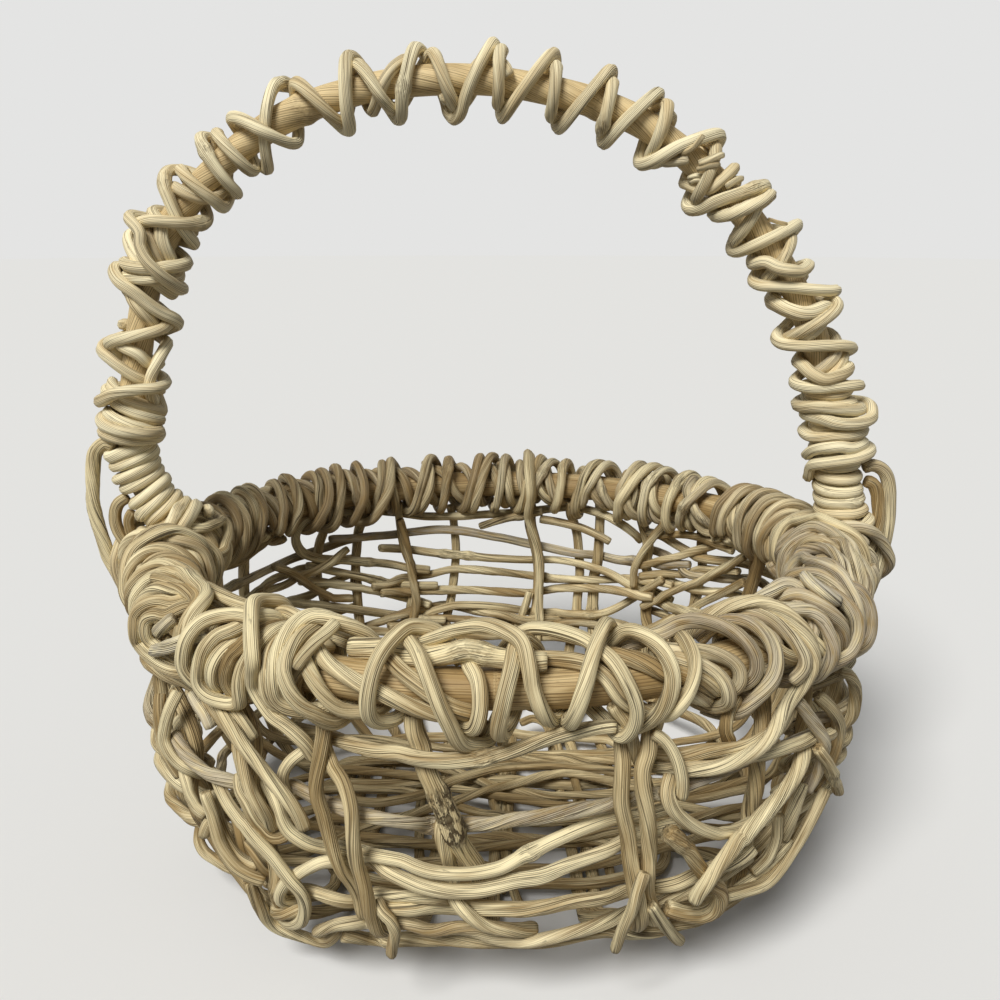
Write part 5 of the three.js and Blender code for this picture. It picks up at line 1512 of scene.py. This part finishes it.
def buildPiece(name, members, material, nodes):
    verts, place, knots, cuts, quads, triangles = zip(*[sweepStrand(s) for s in members])
    base = np.cumsum([0] + [len(v) for v in verts])
    quads = np.vstack([q + b for q, b in zip(quads, base)])
    triangles = np.vstack([t + b for t, b in zip(triangles, base)])
    sizes = np.concatenate([np.full(len(quads), 4), np.full(len(triangles), 3)])
    corners = np.concatenate([quads.ravel(), triangles.ravel()]).astype(np.int32)
    mesh = bpy.data.meshes.new(name)
    mesh.vertices.add(base[-1])
    mesh.vertices.foreach_set("co", (np.vstack(verts) * mm).astype(np.float32).ravel())
    mesh.loops.add(len(corners))
    mesh.loops.foreach_set("vertex_index", corners)
    mesh.polygons.add(len(sizes))
    mesh.polygons.foreach_set("loop_start", np.concatenate([[0], np.cumsum(sizes)[:-1]]).astype(np.int32))
    mesh.update(calc_edges=True)
    mesh.validate()
    values = {"knot": np.concatenate(knots), "cutEnd": np.concatenate(cuts)}
    for key in ("tone", "grey"):
        values[key] = np.concatenate([np.full(len(v), s[key]) for v, s in zip(verts, members)])
    for key, value in values.items():
        mesh.attributes.new(key, "FLOAT", "POINT").data.foreach_set("value", value.astype(np.float32))
    straight = mesh.attributes.new("straight", "FLOAT_VECTOR", "POINT")
    straight.data.foreach_set("vector", np.vstack(place).astype(np.float32).ravel())
    mesh.polygons.foreach_set("use_smooth", np.ones(len(sizes), bool))
    mesh.materials.append(material)
    piece = addObject(name, mesh)
    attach(piece, "root")
    if nodes:
        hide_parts(*nodes)


# Materials

def addNode(tree, kind, **settings):
    node = tree.nodes.new("ShaderNode" + kind)
    for key, value in settings.items():
        setattr(node, key, value)
    return node


def feed(tree, socket, value):
    # A socket is linked, or set where the value is a number or a colour
    if isinstance(value, tuple):
        socket.default_value = (*value, 1) if socket.type == "RGBA" else value
    elif isinstance(value, (int, float)):
        socket.default_value = value
    else:
        tree.links.new(value, socket)


def calculate(tree, operation, *values, clamp=False):
    node = addNode(tree, "Math", operation=operation, use_clamp=clamp)
    for socket, value in zip(node.inputs, values):
        feed(tree, socket, value)
    return node.outputs[0]


def mixColour(tree, share, a, b):
    node = addNode(tree, "Mix", data_type="RGBA")
    for socket, value in ((node.inputs[0], share), (node.inputs[6], a), (node.inputs[7], b)):
        feed(tree, socket, value)
    return node.outputs[2]


def ramp(tree, value, low, high, toLow=0.0, toHigh=1.0):
    node = addNode(tree, "MapRange", interpolation_type="SMOOTHSTEP")
    for socket, number in zip(node.inputs, (value, low, high, toLow, toHigh)):
        feed(tree, socket, number)
    return node.outputs[0]


def stretchedNoise(tree, place, across, along, detail=3.0):
    scale = addNode(tree, "VectorMath", operation="MULTIPLY")
    feed(tree, scale.inputs[0], place)
    feed(tree, scale.inputs[1], (1 / across, 1 / across, 1 / along))
    noise = addNode(tree, "TexNoise")
    for socket, value in (
            ("Vector", scale.outputs[0]), ("Scale", 1.0), ("Detail", detail), ("Roughness", 0.55)):
        feed(tree, noise.inputs[socket], value)
    return noise.outputs["Fac"]


def newGroup(name, inputs, outputs):
    group = bpy.data.node_groups.new(name, "ShaderNodeTree")
    for way, sockets in (("INPUT", inputs), ("OUTPUT", outputs)):
        for label, kind, *value in sockets:
            socket = group.interface.new_socket(name=label, in_out=way, socket_type="NodeSocket" + kind)
            if value:
                socket.default_value = value[0]
    return group, group.nodes.new("NodeGroupInput").outputs, group.nodes.new("NodeGroupOutput").inputs


def fibreGroup():
    # Lengthwise ridges round a vine, stronger here and weaker there, with dark grooves and fine
    # fibres, on the straightened vine in millimetres
    group, given, made = newGroup("vineFibres", (
        ("Straight", "Vector"), ("Ridges", "Float", 22), ("Groove Share", "Float", 0.42)), (
        ("Fibres", "Float"), ("Grooves", "Float"), ("Blotches", "Float"), ("Height", "Float")))
    calc, ease, noise = (partial(part, group) for part in (calculate, ramp, stretchedNoise))
    place = given["Straight"]
    parts = addNode(group, "SeparateXYZ")
    feed(group, parts.inputs[0], place)
    angle = calc("ARCTAN2", parts.outputs[1], parts.outputs[0])
    drift = noise(place, 2.8, 45, 1)
    wave = calc("MULTIPLY", angle, given["Ridges"])
    wave = calc("SINE", calc("MULTIPLY_ADD", drift, 9.0, wave))
    coarse = noise(place, 0.95, 46, 2)
    fine = noise(place, 0.34, 16, 3)
    blotch = noise(place, 6, 38, 2)
    strength = ease(coarse, 0.40, 0.60, 1.0, 0.18)
    lines = calc("MULTIPLY", ease(wave, -0.2, -0.9), strength)
    depth = calc("SUBTRACT", given["Groove Share"], coarse)
    patchy = ease(blotch, 0.3, 0.62, 0.35, 1.0)
    deep = calc("MULTIPLY", ease(depth, 0.02, 0.1), patchy)
    hairs = calc("MULTIPLY", ease(fine, 0.37, 0.28), 0.6)
    grooves = calc("MAXIMUM", calc("MULTIPLY", lines, 0.8), calc("MAXIMUM", deep, hairs))
    height = calc("MULTIPLY", wave, calc("MULTIPLY", strength, 0.28))
    for value, share in ((coarse, 0.6), (fine, 0.3), (deep, -0.6)):
        height = calc("MULTIPLY_ADD", value, share, height)
    for name, value in (("Fibres", fine), ("Grooves", grooves), ("Blotches", blotch), ("Height", height)):
        feed(group, made[name], value)
    return group


def weatherGroup():
    # Colour of weathered bark from the fibres, the vine's own tone, knots and cut ends
    group, given, made = newGroup("vineWeather", (
        ("Pale", "Color", (0.66, 0.56, 0.36, 1)), ("Deep", "Color", (0.40, 0.30, 0.16, 1)),
        ("Groove", "Color", (0.12, 0.08, 0.035, 1)), ("Grey", "Color", (0.40, 0.36, 0.28, 1)),
        ("Tone", "Float", 0.5), ("Greyness", "Float", 0.0), ("Knot", "Float", 0.0), ("Cut End", "Float", 0.0),
        ("Fibres", "Float", 0.5), ("Grooves", "Float", 0.0), ("Blotches", "Float", 0.5),
        ("Straight", "Vector")), (
        ("Colour", "Color"), ("Roughness", "Float"), ("Pits", "Float")))
    calc, ease, noise, mix = (partial(part, group) for part in (calculate, ramp, stretchedNoise, mixColour))
    blotch = ease(given["Blotches"], 0.28, 0.72, -0.55, 0.3)
    tone = calc("ADD", given["Tone"], blotch)
    fibres = ease(given["Fibres"], 0.3, 0.7, -0.5, 0.5)
    tone = calc("MULTIPLY_ADD", fibres, 0.6, tone, clamp=True)
    colour = mix(tone, given["Deep"], given["Pale"])
    speckle = noise(given["Straight"], 1.6, 7, 4)
    weather = calc("MULTIPLY", given["Greyness"], ease(speckle, 0.3, 0.6))
    colour = mix(weather, colour, given["Grey"])
    darkFleck = calc("MULTIPLY", ease(speckle, 0.66, 0.74), 0.5)
    grooves = calc("MAXIMUM", given["Grooves"], darkFleck)
    colour = mix(calc("MULTIPLY", grooves, 0.9), colour, given["Groove"])
    torn = noise(given["Straight"], 1.7, 3.4, 4)
    knotShare = calc("MULTIPLY", given["Knot"], ease(torn, 0.44, 0.56, 0.05, 1.0))
    colour = mix(knotShare, colour, given["Groove"])
    cut = ease(given["Cut End"], 0.45, 0.9, 0.0, 0.6)
    colour = mix(cut, colour, given["Deep"])
    rough = calc("MULTIPLY_ADD", given["Fibres"], 0.25, 0.5)
    rough = calc("MULTIPLY_ADD", grooves, 0.2, rough, clamp=True)
    for name, value in (("Colour", colour), ("Roughness", rough), ("Pits", knotShare)):
        feed(group, made[name], value)
    return group


def vineMaterial(name, groups, look):
    material = bpy.data.materials.new(name)
    material.use_nodes = True
    tree = material.node_tree
    shader = tree.nodes["Principled BSDF"].inputs
    fibres, weather = (addNode(tree, "Group", node_tree=group) for group in groups)

    def attribute(key, output="Fac"):
        return addNode(tree, "Attribute", attribute_name=key).outputs[output]

    straight = attribute("straight", "Vector")
    for socket, value in (
            ("Straight", straight), ("Groove Share", look["grooves"]), ("Ridges", look["ridges"])):
        feed(tree, fibres.inputs[socket], value)
    for socket, value in (
            ("Straight", straight), ("Tone", attribute("tone")), ("Greyness", attribute("grey")),
            ("Knot", attribute("knot")), ("Cut End", attribute("cutEnd")), ("Pale", look["pale"]),
            ("Deep", look["deep"]), ("Groove", look["groove"]), ("Grey", look["greyColour"]),
            *((key, fibres.outputs[key]) for key in ("Fibres", "Grooves", "Blotches"))):
        feed(tree, weather.inputs[socket], value)
    bump = addNode(tree, "Bump")
    height = calculate(tree, "MULTIPLY_ADD", weather.outputs["Pits"], -2.0, fibres.outputs["Height"])
    for socket, value in (("Strength", look["bump"]), ("Distance", 0.5 * mm), ("Height", height)):
        feed(tree, bump.inputs[socket], value)
    for socket, value in (
            ("Normal", bump.outputs["Normal"]), ("Base Color", weather.outputs["Colour"]),
            ("Roughness", weather.outputs["Roughness"]), ("Specular IOR Level", look["shine"])):
        feed(tree, shader[socket], value)
    return material


finishes = {
    "vineBark": {"pale": (0.95, 0.83, 0.52), "deep": (0.38, 0.26, 0.11), "groove": (0.055, 0.032, 0.010),
                 "greyColour": (0.55, 0.51, 0.43), "grooves": 0.40, "ridges": 25, "bump": 1.0, "shine": 0.3},
    # a paler copy of the vine bark for the handle and its feet: the paleness is painted light, as if a lamp
    # fell full on the front of the handle
    "wrapBark": {"pale": (1.0, 0.90, 0.61), "deep": (0.65, 0.50, 0.265), "groove": (0.11, 0.07, 0.026),
                 "greyColour": (0.60, 0.56, 0.47), "grooves": 0.375, "ridges": 25, "bump": 0.8,
                 "shine": 0.35},
    "ribBark": {"pale": (0.87, 0.73, 0.43), "deep": (0.37, 0.26, 0.115), "groove": (0.055, 0.033, 0.011),
                "greyColour": (0.46, 0.42, 0.34), "grooves": 0.42, "ridges": 23, "bump": 1.0, "shine": 0.3},
    "rodWood": {"pale": (0.76, 0.60, 0.325), "deep": (0.36, 0.24, 0.095), "groove": (0.14, 0.085, 0.03),
                "greyColour": (0.46, 0.40, 0.30), "grooves": 0.32, "ridges": 40, "bump": 0.3, "shine": 0.45},
}

# Finish, slot and replaced nodes of each piece
pieceTable = {
    **{f"rib{n}": ("ribBark", "rib_vine", [f"rib_long_{n}"]) for n in range(1, 10)},
    **{f"crossRib{n}": ("ribBark", "rib_vine", [f"rib_cross_{n}"]) for n in range(1, 5)},
    **{f"weaver{n}": ("vineBark", "weaver_vine", [f"weaver_row_{n}"]) for n in range(1, 9)},
    "looseVines": ("vineBark", "weaver_vine", []),
    "baseVines": ("ribBark", "weaver_vine", []),
}
for kinds, finish, slot, sides in (
        (("rim", "handle"), "rodWood", "peeled_rod", ("rod",)),
        (("base",), "vineBark", "weaver_vine", ("ring",)),
        (("rim_binding", "rim_crossing"), "vineBark", "binding_vine", ("front", "back")),
        (("handle",), "wrapBark", "handle_vine", ("wrap", "crossing")),
        (("foot_wrap",), "wrapBark", "handle_vine", ("left", "right")),
        (("lashing",), "vineBark", "lashing_vine", ("left", "right")),
        (("ear", "brace"), "vineBark", "thick_vine", ("left", "right")),
        (("loop",), "vineBark", "weaver_vine", ("vine",))):
    for kind in kinds:
        for side in sides:
            first, *others = f"{kind}_{side}".split("_")
            pieceTable[first + "".join(word.title() for word in others)] = (finish, slot, [f"{kind}_{side}"])


def buildAll():
    groups = fibreGroup(), weatherGroup()
    materials = {name: vineMaterial(name, groups, look) for name, look in finishes.items()}
    for name, members in pieces.items():
        finish, slot, nodes = pieceTable[name]
        buildPiece(name, members, materials[finish], nodes)
    print(f"built {len(pieces)} pieces")


# Studio

studio = {
    "floorColour": (0.82, 0.825, 0.828),
    "floorBounce": (0.20, 0.20, 0.20),     # what the floor gives back to the basket
    "floorRadius": 9.0,
    "floorSides": 96,
    "worldColour": (1.0, 1.0, 0.98),
    "worldStrength": 0.19,
    "backdropColour": (0.776, 0.776, 0.769),
    "sunPower": 3.2,
    "sunSpread": 24,       # degrees; a wide sun gives soft shadows
    "sunFrom": (-0.4, -0.82, 1.0),
    "sunColour": (1.0, 0.985, 0.95),
}


def plainRays(tree):
    # Rays that show the background as it is: seen directly, reflected or through glass
    path = addNode(tree, "LightPath").outputs
    rays = calculate(tree, "MAXIMUM", path["Is Camera Ray"], path["Is Glossy Ray"])
    return calculate(tree, "MAXIMUM", rays, path["Is Transmission Ray"])


def layFloor():
    angles = np.linspace(0, 2 * math.pi, studio["floorSides"], endpoint=False)
    mesh = bpy.data.meshes.new("floor")
    verts = [(math.cos(a) * studio["floorRadius"], math.sin(a) * studio["floorRadius"], 0) for a in angles]
    mesh.from_pydata(verts, [], [list(range(len(verts)))])
    floor = addObject("floor", mesh)
    material = bpy.data.materials.new("floorPaint")
    material.use_nodes = True
    tree = material.node_tree
    shader = tree.nodes["Principled BSDF"].inputs
    colour = mixColour(tree, plainRays(tree), studio["floorBounce"], studio["floorColour"])
    feed(tree, shader["Base Color"], colour)
    feed(tree, shader["Roughness"], 1.0)
    feed(tree, shader["Specular IOR Level"], 0.0)
    mesh.materials.append(material)


def lightWorld():
    world = bpy.data.worlds.new("studioLight")
    world.use_nodes = True
    bpy.context.scene.world = world
    tree = world.node_tree
    tree.nodes.clear()
    mix = addNode(tree, "MixShader")
    feed(tree, mix.inputs[0], plainRays(tree))
    lights = ((studio["worldColour"], studio["worldStrength"]), (studio["backdropColour"], 1.0))
    for socket, (colour, strength) in zip(mix.inputs[1:], lights):
        light = addNode(tree, "Background")
        feed(tree, light.inputs[0], colour)
        feed(tree, light.inputs[1], strength)
        feed(tree, socket, light.outputs[0])
    feed(tree, addNode(tree, "OutputWorld").inputs[0], mix.outputs[0])


def setStudio():
    scene = bpy.context.scene
    scene.view_settings.view_transform = "Standard"
    layFloor()
    lightWorld()
    sun = bpy.data.lights.new("softSun", "SUN")
    sun.energy = studio["sunPower"]
    sun.angle = math.radians(studio["sunSpread"])
    sun.color = studio["sunColour"]
    lamp = addObject("softSun", sun)
    lamp.rotation_euler = (-Vector(studio["sunFrom"])).to_track_quat("-Z", "Y").to_euler()
    view = addObject("camera", bpy.data.cameras.new("camera"))
    view.data.lens = camera["lens"]
    view.data.sensor_width = camera["sensor"]
    view.data.shift_x = camera["shift"]
    view.data.clip_start = 0.02
    view.location = Vector(camera["place"]) * mm
    view.rotation_euler = (math.radians(camera["tilt"]), 0, 0)
    scene.camera = view
    print("set the studio")


for job in (layRods, layRibs, layWeavers, layBaseRing, layRimVines, layHandleWraps, layFootWraps, layLashings,
            layEars, layShortVines, layBaseVines, settle, buildAll, setStudio):
    job()
